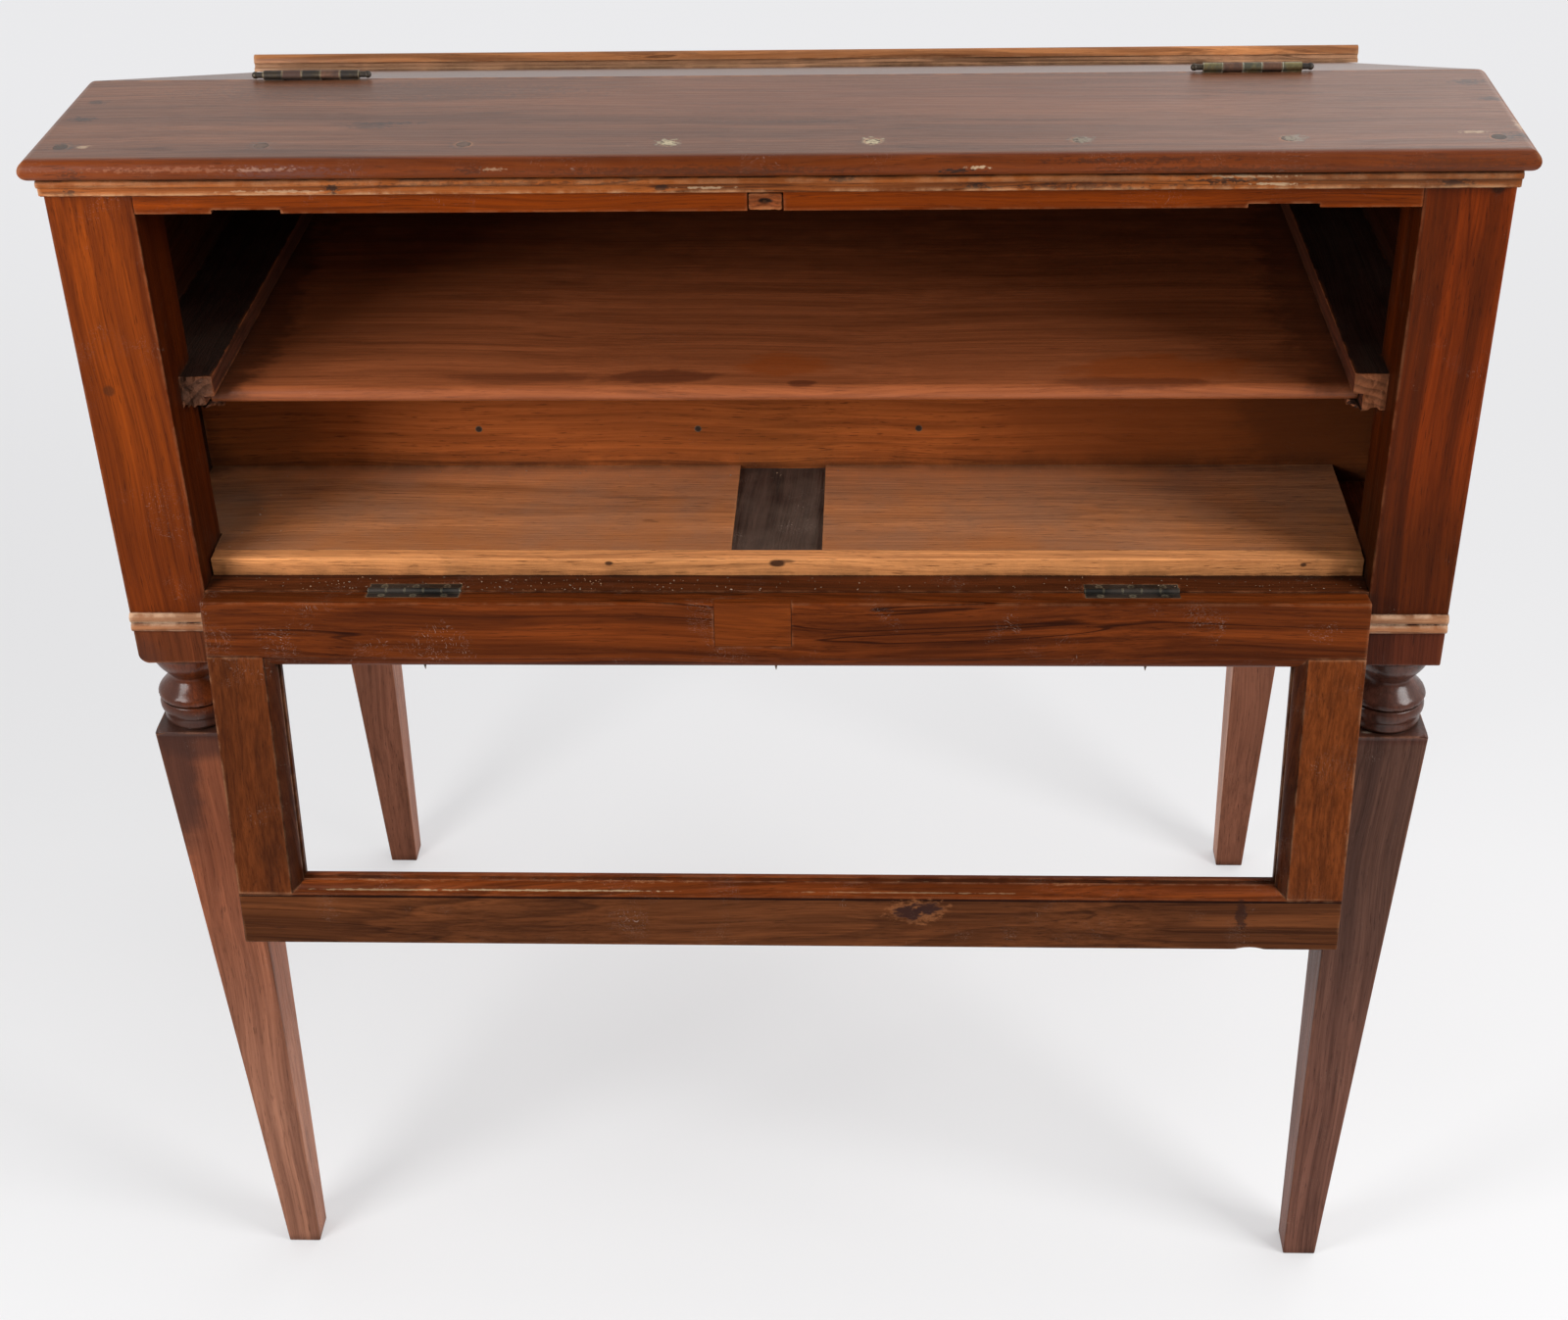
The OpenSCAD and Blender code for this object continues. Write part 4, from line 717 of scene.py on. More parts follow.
# Boards that were never polished
RAW = dict(light=(0.585, 0.218, 0.075), dark=(0.270, 0.088, 0.027), rings=70.0, wander=8.0,
           ring_part=0.35, vein_part=0.4, streak_part=0.4, streak_scale=110.0, fibre_part=0.4,
           pore_part=0.8, worn=(0.58, 0.30, 0.14), wear=0.25, scuffs=0.15, roughness=0.68,
           coat=0.0, shine=0.15, bump=0.6, shade_and_dirt_reach=0.03, dust=0.35)
KNOT = (0.060, 0.022, 0.010)
PALE_BOARD = (0.760, 0.290, 0.105)
FLOOR_HIGH = 0.779
FINISHES["floor_strip"] = timber(
    "Front floor strip", "x", shift=(0.2, 0.1, 0.0),
    marks_and_painted_light=(((-0.0034, -0.2767, 0.775), (0.0085, 0.009, 0.0045), KNOT, 0.95),
            ((0.004, -0.2767, 0.777), (0.010, 0.009, 0.0022), KNOT, 0.7),
            ((-0.142, -0.2767, 0.775), (0.0045, 0.006, 0.0025), KNOT, 0.9),
            ((0.424, -0.2767, 0.774), (0.0035, 0.006, 0.0025), KNOT, 0.9)),
    **{**RAW, "light": (0.900, 0.375, 0.130), "dark": (0.450, 0.160, 0.050), "dust": 0.1})
FINISHES["floor_board_left"] = timber(
    "Left floor board", "x", shift=(0.5, 0.1, 0.0),
    marks_and_painted_light=(((-0.0413, -0.0995, FLOOR_HIGH), (0.006, 0.005, 0.005), KNOT, 1.0),
            *level_spots((
                (-0.20, -0.262, 0.42, 0.050, (0.400, 0.140, 0.045), 0.65),
                (-0.26, -0.110, 0.30, 0.045, PALE_BOARD, 0.6),
                (-0.49, -0.20, 0.06, 0.07, (0.130, 0.060, 0.030), 0.6)), FLOOR_HIGH)), **RAW)
FINISHES["floor_board_right"] = timber(
    "Right floor board", "x", shift=(3.5, 0.1, 0.0),
    marks_and_painted_light=level_spots((
        (0.12, -0.262, 0.18, 0.045, (0.420, 0.150, 0.050), 0.5),
        (0.16, -0.115, 0.22, 0.045, PALE_BOARD, 0.5)), FLOOR_HIGH), **RAW)
FINISHES["partition"] = timber(
    "Partition", "x", shift=(1.6, 0.1, 0.1),
    # Darker to the right and at the left end: painted shade where the posts shadow the partition.
    marks_and_painted_light=(((0.36, -0.10, 0.86), (0.26, 0.05, 0.25), (0.270, 0.066, 0.013), 0.75),
            ((0.46, -0.10, 0.86), (0.10, 0.05, 0.15), (0.150, 0.040, 0.010), 0.75),
            ((-0.46, -0.10, 0.86), (0.07, 0.05, 0.15), (0.160, 0.045, 0.013), 0.35)),
    **{**RAW, "light": (0.540, 0.145, 0.030), "dark": (0.235, 0.060, 0.013), "dust": 0.0})
for node_name, label, grain, shift, wood in (
    ("rear_rail", "Sitter's rail", "x", (3.4, 0.1, 0.2), RAIL),
    ("lid_upper_board", "Upper lid board", "x", (2.2, 0.1, 0.0), TOP),
    ("lid_lower_board", "Lower lid board", "x", (1.2, 0.3, 0.0), TOP),
    ("side_bearer_left", "Left bearer", "y", (0.5, 0.1, 0.0), RAW),
    ("side_bearer_right", "Right bearer", "y", (1.5, 0.1, 0.0), RAW),
    ("partition_rail", "Partition rail", "x", (2.6, 0.3, 0.1), RAW),
):
    FINISHES[node_name] = timber(label, grain, shift=shift, **wood)
FINISHES["centre_bearer"] = timber(
    "Rough bearer", "y", (0.085, 0.048, 0.034), (0.034, 0.018, 0.012), rings=160.0,
    streak_scale=200.0, fibre_part=0.6, scuffs=0.9, dust=0.35, roughness=0.8, coat=0.0, bump=1.0,
    worn=(0.22, 0.16, 0.12), wear=0.6)

# Flap
FLAP = dict(light=(0.180, 0.037, 0.006), dark=(0.040, 0.008, 0.002), rings=55.0, wander=9.0,
            ring_part=0.45, vein_part=0.8, streak_part=0.45, streak_scale=100.0, band_part=0.4,
            fibre_part=0.7, worn=(0.36, 0.17, 0.085), wear=0.8, scuffs=0.7, roughness=0.44,
            coat=0.0, shine=0.06)
STILE = {**FLAP, "dark": (0.052, 0.013, 0.004), "ring_part": 0.2, "vein_part": 0.2, "scuffs": 0.4}
MOULDING_SHADE = (0.42, 0.40, 0.45)
RUBBED_EDGE = (0.46, 0.22, 0.10)
BURNT = (0.032, 0.012, 0.010)
FLAP_FACE = -0.363
FLAP_STEP = -0.352
FINISHES["flap_upper_rail"] = timber(
    "Flap upper rail", "x", shift=(0.3, 0.1, 0.1), tilt=1.6, **{**FLAP, "wear": 0.35})
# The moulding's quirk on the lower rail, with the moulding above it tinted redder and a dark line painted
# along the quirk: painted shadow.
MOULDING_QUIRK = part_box("flap_lower_rail")[1][2] - 0.010
FINISHES["flap_lower_rail"] = timber(
    "Flap lower rail", "x", shift=(2.9, 0.1, 0.2), tilt=-2.2, ragged=2.4, ragged_scale=260.0,
    bands=((MOULDING_QUIRK, MOULDING_QUIRK + 0.01, 0.0006, (1.35, 0.95, 0.60), 1.0),
           (MOULDING_QUIRK - 0.0012, MOULDING_QUIRK + 0.0002, 0.0008, (0.16, 0.14, 0.16), 1.0)),
    marks_and_painted_light=(((0.1140, FLAP_FACE, 0.4813), (0.030, 0.02, 0.0130), (0.290, 0.105, 0.038), 0.65),
            ((0.1070, FLAP_FACE, 0.4800), (0.0155, 0.02, 0.0090), BURNT, 0.95),
            ((0.1220, FLAP_FACE, 0.4840), (0.0145, 0.02, 0.0072), BURNT, 0.95),
            # Pale lines along the quirk's lower edge are painted highlights.
            ((-0.20, FLAP_FACE, 0.4983), (0.130, 0.02, 0.0008), (0.56, 0.42, 0.24), 0.55),
            ((-0.34, FLAP_FACE, 0.4980), (0.070, 0.02, 0.0009), (0.52, 0.40, 0.22), 0.35),
            ((0.10, FLAP_FACE, 0.4983), (0.110, 0.02, 0.0007), (0.42, 0.28, 0.15), 0.35),
            ((-0.12, FLAP_STEP, 0.5040), (0.110, 0.02, 0.0014), RUBBED_EDGE, 0.45),
            ((-0.34, FLAP_STEP, 0.5040), (0.080, 0.02, 0.0014), RUBBED_EDGE, 0.45),
            ((0.24, FLAP_STEP, 0.5040), (0.050, 0.02, 0.0014), RUBBED_EDGE, 0.45),
            ((0.388, FLAP_FACE, 0.480), (0.006, 0.02, 0.015), (0.026, 0.010, 0.007), 0.75)),
    **{**FLAP, "light": (0.155, 0.047, 0.014), "dark": (0.050, 0.015, 0.005), "ring_part": 0.6,
       "vein_part": 0.45, "streak_part": 0.25, "rings": 34.0, "wander": 12.0, "wear": 0.4})
for side, shift, light in (("left", (0.3, 0.1, 0.1), (0.146, 0.035, 0.0078)),
                           ("right", (2.3, 0.1, 0.2), (0.195, 0.046, 0.009))):
    FINISHES["flap_stile_" + side] = timber(
        side.title() + " flap stile", "z", shift=shift,
        face=(INWARD[side], 0.0, 1.0, MOULDING_SHADE, LEANING), **{**STILE, "light": light})
FINISHES["flap_patch"] = timber(
    "Flap patch", "x", shift=(5.3, 0.1, 0.1),
    **{**FLAP, "light": (0.185, 0.039, 0.006), "dark": (0.085, 0.017, 0.004), "ring_part": 0.2,
       "vein_part": 0.15, "streak_part": 0.25, "wear": 0.0, "scuffs": 0.5, "shade_and_dirt": 1.0,
       "shade_and_dirt_reach": 0.004})
FINISHES["grit"] = timber(
    "Grit", "x", (0.420, 0.330, 0.250), (0.080, 0.050, 0.035), rings=20.0,
    roughness=0.85, coat=0.0, shade_and_dirt=0.3)

# Metal
BLACK_IRON = worn_metal("Black iron", (0.016, 0.015, 0.013), (0.030, 0.020, 0.013), (0.30, 0.26, 0.17),
                        metallic=0.5, rub=0.45)
NAIL_IRON = worn_metal("Nail iron", (0.030, 0.018, 0.012), (0.060, 0.028, 0.015), (0.20, 0.14, 0.09),
                       metallic=0.35, roughness=0.6)
GREEN_BRASS = worn_metal("Green brass", (0.260, 0.215, 0.105), (0.070, 0.066, 0.046),
                         (0.62, 0.58, 0.46), roughness=0.36, change=60.0)
BROWN_BRASS = worn_metal("Brown brass", (0.150, 0.072, 0.044), (0.060, 0.026, 0.017),
                         (0.42, 0.30, 0.17), metallic=0.5, change=45.0, rub=0.5)
DARK_BRASS = worn_metal("Dark brass", (0.060, 0.045, 0.030), (0.024, 0.017, 0.014),
                        (0.46, 0.36, 0.22), metallic=0.7, roughness=0.45, change=70.0, rub=0.6)
PIN_STEEL = worn_metal("Pin steel", (0.30, 0.28, 0.26), (0.10, 0.06, 0.04), (0.75, 0.72, 0.68))
FINISHES["lid_hinge_left_fixed_leaf"] = DARK_BRASS
FINISHES["lid_hinge_right_fixed_leaf"] = GREEN_BRASS
FINISHES["lid_hinge_left_lid_leaf"] = BROWN_BRASS
FINISHES["lid_hinge_right_lid_leaf"] = BROWN_BRASS
for node_name in frame["nodes"]:
    if node_name in FINISHES:
        continue
    if "nails" in node_name:
        FINISHES[node_name] = NAIL_IRON
    elif node_name.startswith("lid_hinge") and node_name.endswith("_pin"):
        FINISHES[node_name] = DARK_BRASS
    elif node_name.endswith("_pin"):
        FINISHES[node_name] = PIN_STEEL
    else:
        FINISHES[node_name] = BLACK_IRON


# Meshes and pieces
WELD = 2e-6
FLAT_ANGLE = math.radians(0.4)
SHARP_ANGLE = math.radians(32)
CORNER_STEPS = 3


def merged_shape(node_name):
    """A node's mesh with its loose triangles joined and its flat faces whole."""
    shape = bmesh.new()
    shape.from_mesh(frame["nodes"][node_name].data)
    bmesh.ops.remove_doubles(shape, verts=shape.verts, dist=WELD)
    bmesh.ops.dissolve_limit(shape, angle_limit=FLAT_ANGLE, verts=shape.verts, edges=shape.edges)
    return shape


def mesh_from(shape, name):
    mesh = bpy.data.meshes.new(name)
    shape.to_mesh(mesh)
    shape.free()
    return mesh


def put_in_scene(name, data):
    held = bpy.data.objects.new(name, data)
    bpy.context.collection.objects.link(held)
    return held


def applied(draft):
    """The mesh of a draft with its modifiers applied. The draft itself goes."""
    solid = bpy.data.meshes.new_from_object(draft.evaluated_get(bpy.context.evaluated_depsgraph_get()))
    bpy.data.objects.remove(draft)
    return solid


def place_piece(name, mesh, finish, body, replaced=None):
    """A finished mesh as a piece of the desk on one of its bodies."""
    mesh.name = name
    mesh.materials.clear()
    mesh.materials.append(finish)
    piece = put_in_scene(name, mesh)
    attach(piece, body)
    if replaced:
        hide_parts(replaced)


def stand_in(name, mesh, node_name):
    """A piece in place of a node, with that node's finish and body."""
    place_piece(name, mesh, FINISHES[node_name], BODY_OF[node_name], node_name)


# Outline of the turned neck from its lower groove to the block, as (height, radius)
NECK_OUTLINE = (
    (0.6464, 0.0322), (0.6485, 0.0328), (0.6520, 0.0311), (0.6560, 0.0272), (0.6600, 0.0234),
    (0.6635, 0.0208), (0.6660, 0.0203), (0.6688, 0.0220), (0.6735, 0.0257), (0.6785, 0.0290),
    (0.6840, 0.0314), (0.6887, 0.0324))
NECK_TOP = NECK_OUTLINE[-1][0] + 0.0002
BELL_GROOVE = 0.6456
RINGS_LOW = 0.6224
RING_SWELL = 1.075


def outline_radius(height):
    """Radius of the neck on a smooth curve through the points of its outline."""
    points = (NECK_OUTLINE[0], *NECK_OUTLINE, NECK_OUTLINE[-1])
    for before, low, high, after in zip(points, points[1:], points[2:], points[3:]):
        if height > high[0]:
            continue
        span = high[0] - low[0]
        part = max(0.0, (height - low[0]) / span)
        leaving = span * (high[1] - before[1]) / (high[0] - before[0])
        arriving = span * (after[1] - low[1]) / (after[0] - low[0])
        rise = high[1] - low[1]
        square = 3.0 * rise - 2.0 * leaving - arriving
        cube = leaving + arriving - 2.0 * rise
        return low[1] + part * (leaving + part * (square + part * cube))
    return NECK_OUTLINE[-1][1]


def shape_neck(shape, centre):
    """Draws the bell down to its groove, as the real neck has it, and fills out the rings."""
    heights = sorted({round(v.co.z, 4) for v in shape.verts if BELL_GROOVE < v.co.z < NECK_TOP})
    step = (NECK_OUTLINE[-1][0] - NECK_OUTLINE[0][0]) / (len(heights) - 1)
    for vert in shape.verts:
        if not RINGS_LOW < vert.co.z < NECK_TOP:
            continue
        outward = Vector((vert.co.x - centre[0], vert.co.y - centre[1], 0.0))
        height = vert.co.z
        radius = outward.length * RING_SWELL
        if height > BELL_GROOVE:
            height = NECK_OUTLINE[0][0] + step * heights.index(round(vert.co.z, 4))
            radius = outline_radius(height)
        vert.co = Vector((centre[0], centre[1], height)) + outward.normalized() * radius


def eased_copy(node_name, width, shortest=0.012):
    """A copy of a node with its long outer corners rounded, standing for that node."""
    shape = merged_shape(node_name)
    if "_leg_" in node_name:
        low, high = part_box(node_name)
        shape_neck(shape, [(a + b) / 2 for a, b in zip(low, high)])
    weight = shape.edges.layers.float.new("bevel_weight_edge")
    for edge in shape.edges:
        if len(edge.link_faces) != 2 or edge.calc_length() < shortest:
            continue
        if edge.is_convex and edge.calc_face_angle() > SHARP_ANGLE:
            edge[weight] = 1.0
    mesh = mesh_from(shape, node_name + "_eased")
    mesh.shade_smooth()
    draft = put_in_scene(node_name + "_draft", mesh)
    rounding = draft.modifiers.new("rounding", "BEVEL")
    rounding.limit_method = "WEIGHT"
    rounding.width = width
    rounding.segments = CORNER_STEPS
    rounding.use_clamp_overlap = False
    flat = draft.modifiers.new("flat faces", "WEIGHTED_NORMAL")
    flat.keep_sharp = True
    stand_in(node_name + "_eased", applied(draft), node_name)


# Wooden pieces whose sharp corners are eased by use, with the rounding in millimetres
EASED = {
    "front_leg_left": 1.6, "front_leg_right": 1.4, "rear_leg_left": 1.4, "rear_leg_right": 1.4,
    "top_front_rail": 1.0, "bottom_front_rail": 0.9, "rear_rail": 1.2,
    "flap_upper_rail": 1.1, "flap_lower_rail": 1.1, "flap_stile_left": 0.7,
    "flap_stile_right": 0.7, "floor_strip": 1.0,
    "lid_upper_board": 0.6, "lid_lower_board": 0.8,
}
for node_name, rounding_mm in EASED.items():
    eased_copy(node_name, rounding_mm * MM)

# Runners, their front ends broken by use
CUTS_ACROSS = 26
CUTS_UP = 16
CUTS_BACK = 9
SPLINTERS = 0.014
LIP_SLACK = 0.0005
SHELF_SLACK = 0.001
RAGGED_EDGE = 0.003
REACH_BACK = 1.5
GRAIN_ACROSS = 115.0
GRAIN_UP = 135.0
FINER = 2.7
FINE_PART = 0.4
BREAK_LEVEL = 0.85
BREAK_VARIES = 0.3


def torn_end(node_name, inward, lost_low, lost_back, deepest, seed):
    """A copy of a runner with splinters at its front end and its lower lip broken away there.
    Inward is the way to the shelf, and lost_low the height below which wood has gone."""
    low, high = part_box(node_name)
    shelf_low, shelf_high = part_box("shelf")
    reach = REACH_BACK * lost_back
    lip = min(abs(shelf_high[0] - low[0]), abs(high[0] - shelf_low[0]))
    shape = merged_shape(node_name)
    cuts = [(0, low[0], high[0], CUTS_ACROSS), (2, low[2], high[2], CUTS_UP),
            (1, low[1], low[1] + reach, CUTS_BACK)]
    for axis, start, end, count in cuts:
        normal = [0.0, 0.0, 0.0]
        normal[axis] = 1.0
        for step in range(1, count + (axis == 1)):
            point = [0.0, 0.0, 0.0]
            point[axis] = start + (end - start) * step / count
            geometry = shape.verts[:] + shape.edges[:] + shape.faces[:]
            bmesh.ops.bisect_plane(shape, geom=geometry, plane_co=point, plane_no=normal, dist=1e-6)
    for vert in shape.verts:
        from_end = vert.co.y - low[1]
        if from_end >= reach:
            continue
        grain = Vector((vert.co.x * GRAIN_ACROSS, seed, vert.co.z * GRAIN_UP))
        rough = noise.noise(grain) + FINE_PART * noise.noise(grain * FINER)
        inner = vert.co.x - low[0] if inward < 0.0 else high[0] - vert.co.x
        on_lip = inner < lip - LIP_SLACK and vert.co.z < shelf_low[2] + SHELF_SLACK
        gone = on_lip or vert.co.z < lost_low + RAGGED_EDGE * rough
        back = lost_back * (BREAK_LEVEL + BREAK_VARIES * rough) if gone else 0.0
        torn = deepest * max(0.0, 0.5 + rough) * max(0.0, 1.0 - from_end / SPLINTERS)
        vert.co.y += back * (1.0 - from_end / reach) + torn
    bmesh.ops.triangulate(shape, faces=shape.faces)
    stand_in(node_name + "_torn", mesh_from(shape, node_name), node_name)


RUNNER_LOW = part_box("runner_left")[0][2]
torn_end("runner_left", 1.0, RUNNER_LOW + 0.009, 0.026, 0.0022, 3.7)
torn_end("runner_right", -1.0, RUNNER_LOW + 0.004, 0.022, 0.0012, 9.1)

# Worn lump of the old keep under the top rail, worked in halves of the keep's own size
KEEP_CUTS = 15
SQUARENESS = 9.0
WANDER_SCALE = (2.6, 2.0, 2.2)
LENGTH_LEFT = 0.992
LENGTH_VARIES = 0.016
HEIGHT_LEFT = 0.96
HEIGHT_VARIES = 0.05
DENT_PLACE = (-0.05, -0.20)
DENT_WIDTH = (0.42, 0.50)
DENT_DEPTH = 1.25
CHATTER_DEPTH = 0.14


def eroded_keep():
    half = [(b - a) / 2 for a, b in zip(keep_low, keep_high)]
    shape = bmesh.new()
    bmesh.ops.create_cube(shape, size=2.0)
    bmesh.ops.subdivide_edges(shape, edges=shape.edges, cuts=KEEP_CUTS, use_grid_fill=True)
    for vert in shape.verts:
        reach = sum(abs(part) ** SQUARENESS for part in vert.co) ** (1.0 / SQUARENESS)
        rounded = vert.co / reach
        wander = noise.noise(Vector([part * scale for part, scale in zip(rounded, WANDER_SCALE)]))
        rounded.x *= LENGTH_LEFT + LENGTH_VARIES * wander
        rounded.z *= HEIGHT_LEFT + HEIGHT_VARIES * wander
        if rounded.y < 0.0:
            across = (rounded.x - DENT_PLACE[0]) / DENT_WIDTH[0]
            up = (rounded.z - DENT_PLACE[1]) / DENT_WIDTH[1]
            chatter = noise.noise(Vector((rounded.x * 7.0, 2.3, rounded.z * 6.0)))
            rounded.y += DENT_DEPTH * math.exp(-across ** 2 - up ** 2) + CHATTER_DEPTH * (1.0 + chatter)
        vert.co = Vector(KEEP_HOLLOW[axis] + half[axis] * rounded[axis] for axis in range(3))
    for face in shape.faces:
        face.smooth = True
    stand_in("keep_lump", mesh_from(shape, "keep"), "keep_patch")


eroded_keep()


# Crumbs of wax and grit that lie in corners and on ledges
MOST_TURN = (0.6, 0.6, 6.28)
LEAST_SHAPE = (0.5, 0.4, 0.3)
MOST_SHAPE = (1.6, 1.0, 0.5)


def make_crumb_tree():
    """Scatters flattened crumbs over a sheet, with the sheet itself left out."""
    tree = bpy.data.node_groups.new("Crumbs", "GeometryNodeTree")
    kinds = {"Geometry": "Geometry", "Density": "Float", "Smallest": "Float", "Largest": "Float",
             "Seed": "Int", "Finish": "Material"}
    for label, kind in kinds.items():
        tree.interface.new_socket(label, in_out="INPUT", socket_type="NodeSocket" + kind)
    tree.interface.new_socket("Geometry", in_out="OUTPUT", socket_type="NodeSocketGeometry")
    given = tree.nodes.new("NodeGroupInput").outputs
    result = tree.nodes.new("NodeGroupOutput")
    sockets = {"Mesh": given["Geometry"], "Density": given["Density"], "Seed": given["Seed"]}
    points = add(tree, "GeometryNodeDistributePointsOnFaces", sockets).outputs["Points"]
    crumb = add(tree, "GeometryNodeMeshIcoSphere", {"Radius": 1.0, "Subdivisions": 1}).outputs["Mesh"]
    sockets = {0: ORIGIN, 1: MOST_TURN, "Seed": 5}
    turn = add(tree, "FunctionNodeRandomValue", sockets, data_type="FLOAT_VECTOR").outputs[0]
    sockets = {2: given["Smallest"], 3: given["Largest"], "Seed": 8}
    size = add(tree, "FunctionNodeRandomValue", sockets, data_type="FLOAT").outputs[1]
    sockets = {0: LEAST_SHAPE, 1: MOST_SHAPE, "Seed": 11}
    shape = add(tree, "FunctionNodeRandomValue", sockets, data_type="FLOAT_VECTOR").outputs[0]
    scale = add(tree, "ShaderNodeVectorMath", {0: shape, 3: size}, operation="SCALE").outputs[0]
    sockets = {"Points": points, "Instance": crumb, "Rotation": turn, "Scale": scale}
    placed = add(tree, "GeometryNodeInstanceOnPoints", sockets).outputs["Instances"]
    solid = add(tree, "GeometryNodeRealizeInstances", {"Geometry": placed}).outputs["Geometry"]
    finished = add(tree, "GeometryNodeSetMaterial", {"Geometry": solid, "Material": given["Finish"]})
    tree.links.new(finished.outputs["Geometry"], result.inputs["Geometry"])
    return tree


CRUMBS = make_crumb_tree()


def scatter_crumbs(name, patches, density, smallest, largest, seed):
    """Crumbs over level patches of the carcase, each patch (x0, y0, x1, y1, height)."""
    sheet = bpy.data.meshes.new(name + "_sheet")
    corners = []
    for x0, y0, x1, y1, height in patches:
        corners += [(x0, y0, height), (x1, y0, height), (x1, y1, height), (x0, y1, height)]
    sheet.from_pydata(corners, [], [tuple(range(4 * i, 4 * i + 4)) for i in range(len(patches))])
    draft = put_in_scene(name + "_draft", sheet)
    scatter = draft.modifiers.new("scatter", "NODES")
    scatter.node_group = CRUMBS
    values = {"Density": density, "Smallest": smallest, "Largest": largest, "Seed": seed,
              "Finish": FINISHES["grit"]}
    for item in CRUMBS.interface.items_tree:
        if item.in_out == "INPUT" and item.name in values:
            scatter[item.identifier] = values[item.name]
    draft.update_tag()
    place_piece(name, applied(draft), FINISHES["grit"], "carcase")


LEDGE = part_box("bottom_front_rail")[1][2]
FLOOR_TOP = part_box("floor_board_left")[1][2]
scatter_crumbs("ledge_crumbs", [(-0.47, -0.2985, 0.47, -0.2765, LEDGE)], 9000.0, 0.00025, 0.0009, 3)
scatter_crumbs("ledge_crumbs_left", [(-0.40, -0.2985, -0.14, -0.280, LEDGE)], 14000.0, 0.0003, 0.0012, 4)
scatter_crumbs("floor_crumbs", [(-0.465, -0.26, -0.42, -0.11, FLOOR_TOP),
                                (-0.42, -0.135, 0.40, -0.122, FLOOR_TOP)], 2500.0, 0.0003, 0.0011, 6)

# Nail tips that came through the underside of the flap's upper rail
TIP_PLACES = (-0.293, -0.004, 0.296)
TIP_SETBACK = 0.006
TIP_RADIUS = 0.0003
TIP_ROOT = 0.0013
TIP_LENGTH = 0.005
TIP_DROP = 0.0015
RAY_START = 0.05


def nail_tips():
    rail = frame["nodes"]["flap_upper_rail"].data
    faces = BVHTree.FromPolygons([v.co for v in rail.vertices], [f.vertices for f in rail.polygons])
    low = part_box("flap_upper_rail")[0]
    shape = bmesh.new()
    for x in TIP_PLACES:
        spot = faces.ray_cast((x, low[1] + TIP_SETBACK, low[2] - RAY_START), UP)[0]
        made = bmesh.ops.create_cone(shape, cap_ends=True, segments=10, radius1=TIP_RADIUS,
                                     radius2=TIP_ROOT, depth=TIP_LENGTH)
        bmesh.ops.translate(shape, verts=made["verts"], vec=(spot.x, spot.y, spot.z - TIP_DROP))
    place_piece("flap_nail_tips", mesh_from(shape, "tips"), NAIL_IRON, "flap")


nail_tips()

for node_name, node_object in frame["nodes"].items():
    if node_name in EASED or node_name in ("runner_left", "runner_right", "keep_patch"):
        continue
    for index in range(len(node_object.material_slots)):
        node_object.material_slots[index].material = FINISHES[node_name]

# Studio: pale floor, soft lamps, a room that is bright above and behind
FLOOR_REACH = 14.0
FLOOR_GREY = (0.80, 0.80, 0.80, 1.0)
FLOOR_GLOW = (0.93, 0.93, 0.95, 1.0)
ROOM_GREY = (0.85, 0.85, 0.85, 1.0)
WHITE = (1.0, 1.0, 1.0, 1.0)
LAMP_AIM = Vector((0.0, 0.0, 0.8))


def pale_floor():
    shape = bmesh.new()
    bmesh.ops.create_grid(shape, x_segments=1, y_segments=1, size=FLOOR_REACH)
    mesh = mesh_from(shape, "floor")
    floor = put_in_scene("floor", mesh)
    material = bpy.data.materials.new("Pale floor")
    material.use_nodes = True
    tree = material.node_tree
    surface = tree.nodes["Principled BSDF"]
    surface.inputs["Base Color"].default_value = FLOOR_GREY
    surface.inputs["Roughness"].default_value = 0.9
    surface.inputs["Specular IOR Level"].default_value = 0.1
    far = add(tree, "ShaderNodeSeparateXYZ", {0: add(tree, "ShaderNodeTexCoord").outputs["Object"]})
    paleness = ramp(tree, far.outputs["Y"], -1.0, 3.5, 0.38, 0.72)
    rays = add(tree, "ShaderNodeLightPath").outputs
    seen = maths(tree, "MAXIMUM", rays["Is Camera Ray"], rays["Is Glossy Ray"])
    glow = add(tree, "ShaderNodeEmission", {"Color": FLOOR_GLOW, "Strength": 1.0})
    sockets = {0: times(tree, paleness, seen), 1: surface.outputs[0], 2: glow.outputs[0]}
    mixed = add(tree, "ShaderNodeMixShader", sockets)
    tree.links.new(mixed.outputs[0], tree.nodes["Material Output"].inputs[0])
    mesh.materials.append(material)


def soft_box(name, place, size, power):
    lamp = bpy.data.lights.new(name, "AREA")
    lamp.shape = "SQUARE"
    lamp.size = size
    lamp.energy = power
    holder = put_in_scene(name, lamp)
    holder.location = place
    holder.visible_camera = False
    holder.rotation_euler = (LAMP_AIM - Vector(place)).to_track_quat("-Z", "Y").to_euler()


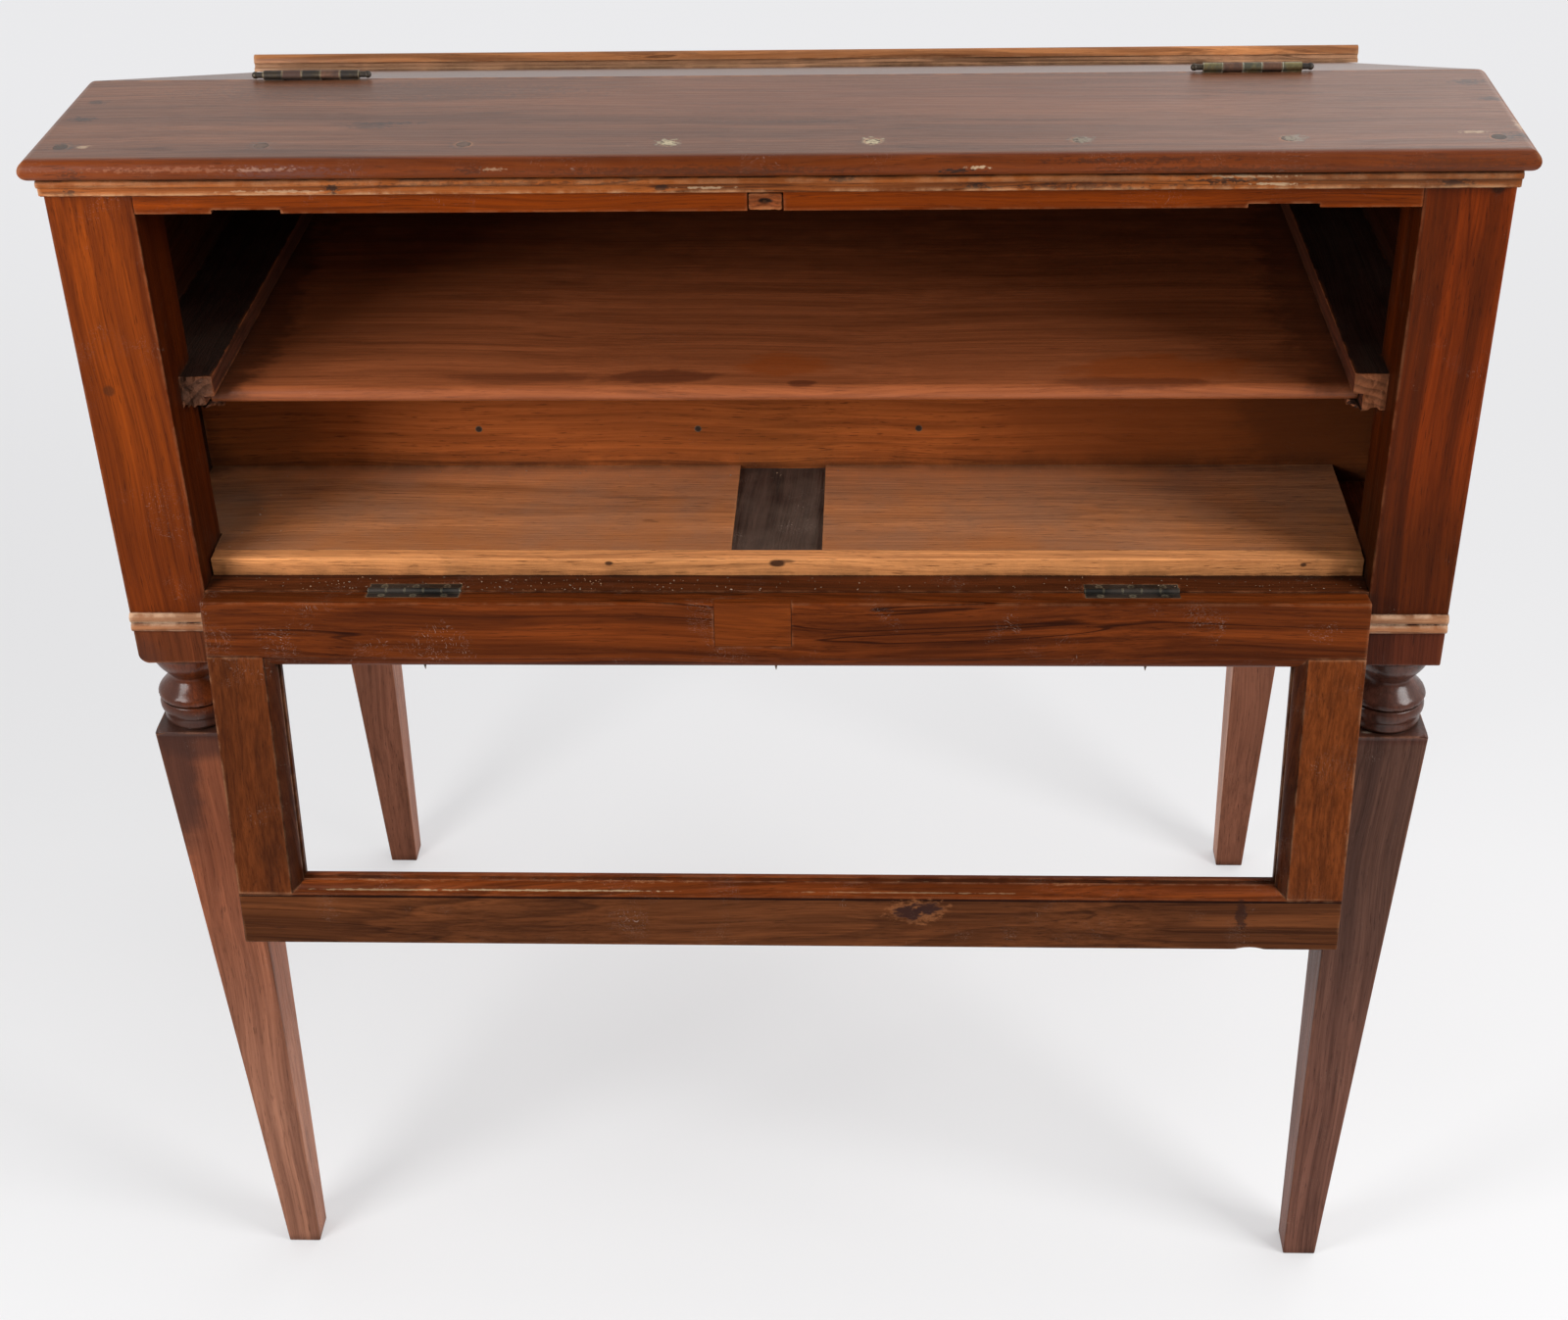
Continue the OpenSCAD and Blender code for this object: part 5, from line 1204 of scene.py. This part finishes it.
def bright_room():
    world = bpy.data.worlds.new("room")
    bpy.context.scene.world = world
    world.use_nodes = True
    tree = world.node_tree
    tree.nodes.clear()
    way = add(tree, "ShaderNodeTexCoord").outputs["Generated"]
    parts = add(tree, "ShaderNodeSeparateXYZ", {0: way}).outputs
    behind = ramp(tree, parts["Y"], -0.55, 0.35, 0.16, 1.0)
    above = ramp(tree, parts["Z"], -0.2, 0.9, 0.75, 1.0)
    rightward = ramp(tree, parts["X"], 0.02, 0.24, 0.78, 1.5)
    level = times(tree, times(tree, behind, above), rightward)
    lit = add(tree, "ShaderNodeBackground", {"Color": WHITE, "Strength": level})
    seen = add(tree, "ShaderNodeBackground", {"Color": ROOM_GREY, "Strength": 1.0})
    camera_ray = add(tree, "ShaderNodeLightPath").outputs["Is Camera Ray"]
    mixed = add(tree, "ShaderNodeMixShader", {0: camera_ray, 1: lit.outputs[0], 2: seen.outputs[0]})
    output = tree.nodes.new("ShaderNodeOutputWorld")
    tree.links.new(mixed.outputs[0], output.inputs[0])


pale_floor()
bright_room()
soft_box("left lamp", (-1.15, -1.05, 1.37), 0.6, 16.0)
soft_box("right lamp", (1.85, -1.10, 1.85), 0.95, 40.0)

# Camera at the photograph's angle: place in metres, turns in degrees, focal length in pixels
IMAGE_WIDTH = 1600
SENSOR_WIDTH = 36.0
CAMERA_PLACE = Vector((0.08137, -1.88555, 1.72664))
CAMERA_PAN = math.radians(-2.888)
CAMERA_TILT = math.radians(32.974)
CAMERA_ROLL = math.radians(-1.437)
FOCAL_PIXELS = 2329.9


def photo_camera():
    forward = Vector((math.sin(CAMERA_PAN) * math.cos(CAMERA_TILT),
                      math.cos(CAMERA_PAN) * math.cos(CAMERA_TILT),
                      -math.sin(CAMERA_TILT)))
    level = Vector((math.cos(CAMERA_PAN), -math.sin(CAMERA_PAN), 0.0))
    upward = level.cross(forward)
    right = math.cos(CAMERA_ROLL) * level + math.sin(CAMERA_ROLL) * upward
    top = -math.sin(CAMERA_ROLL) * level + math.cos(CAMERA_ROLL) * upward
    data = bpy.data.cameras.new("photo camera")
    data.sensor_fit = "HORIZONTAL"
    data.sensor_width = SENSOR_WIDTH
    data.lens = FOCAL_PIXELS / IMAGE_WIDTH * SENSOR_WIDTH
    camera = put_in_scene("photo camera", data)
    turned = Matrix((right, top, -forward)).transposed()
    camera.matrix_world = Matrix.Translation(CAMERA_PLACE) @ turned.to_4x4()
    bpy.context.scene.camera = camera


photo_camera()
bpy.context.scene.view_settings.view_transform = "Standard"
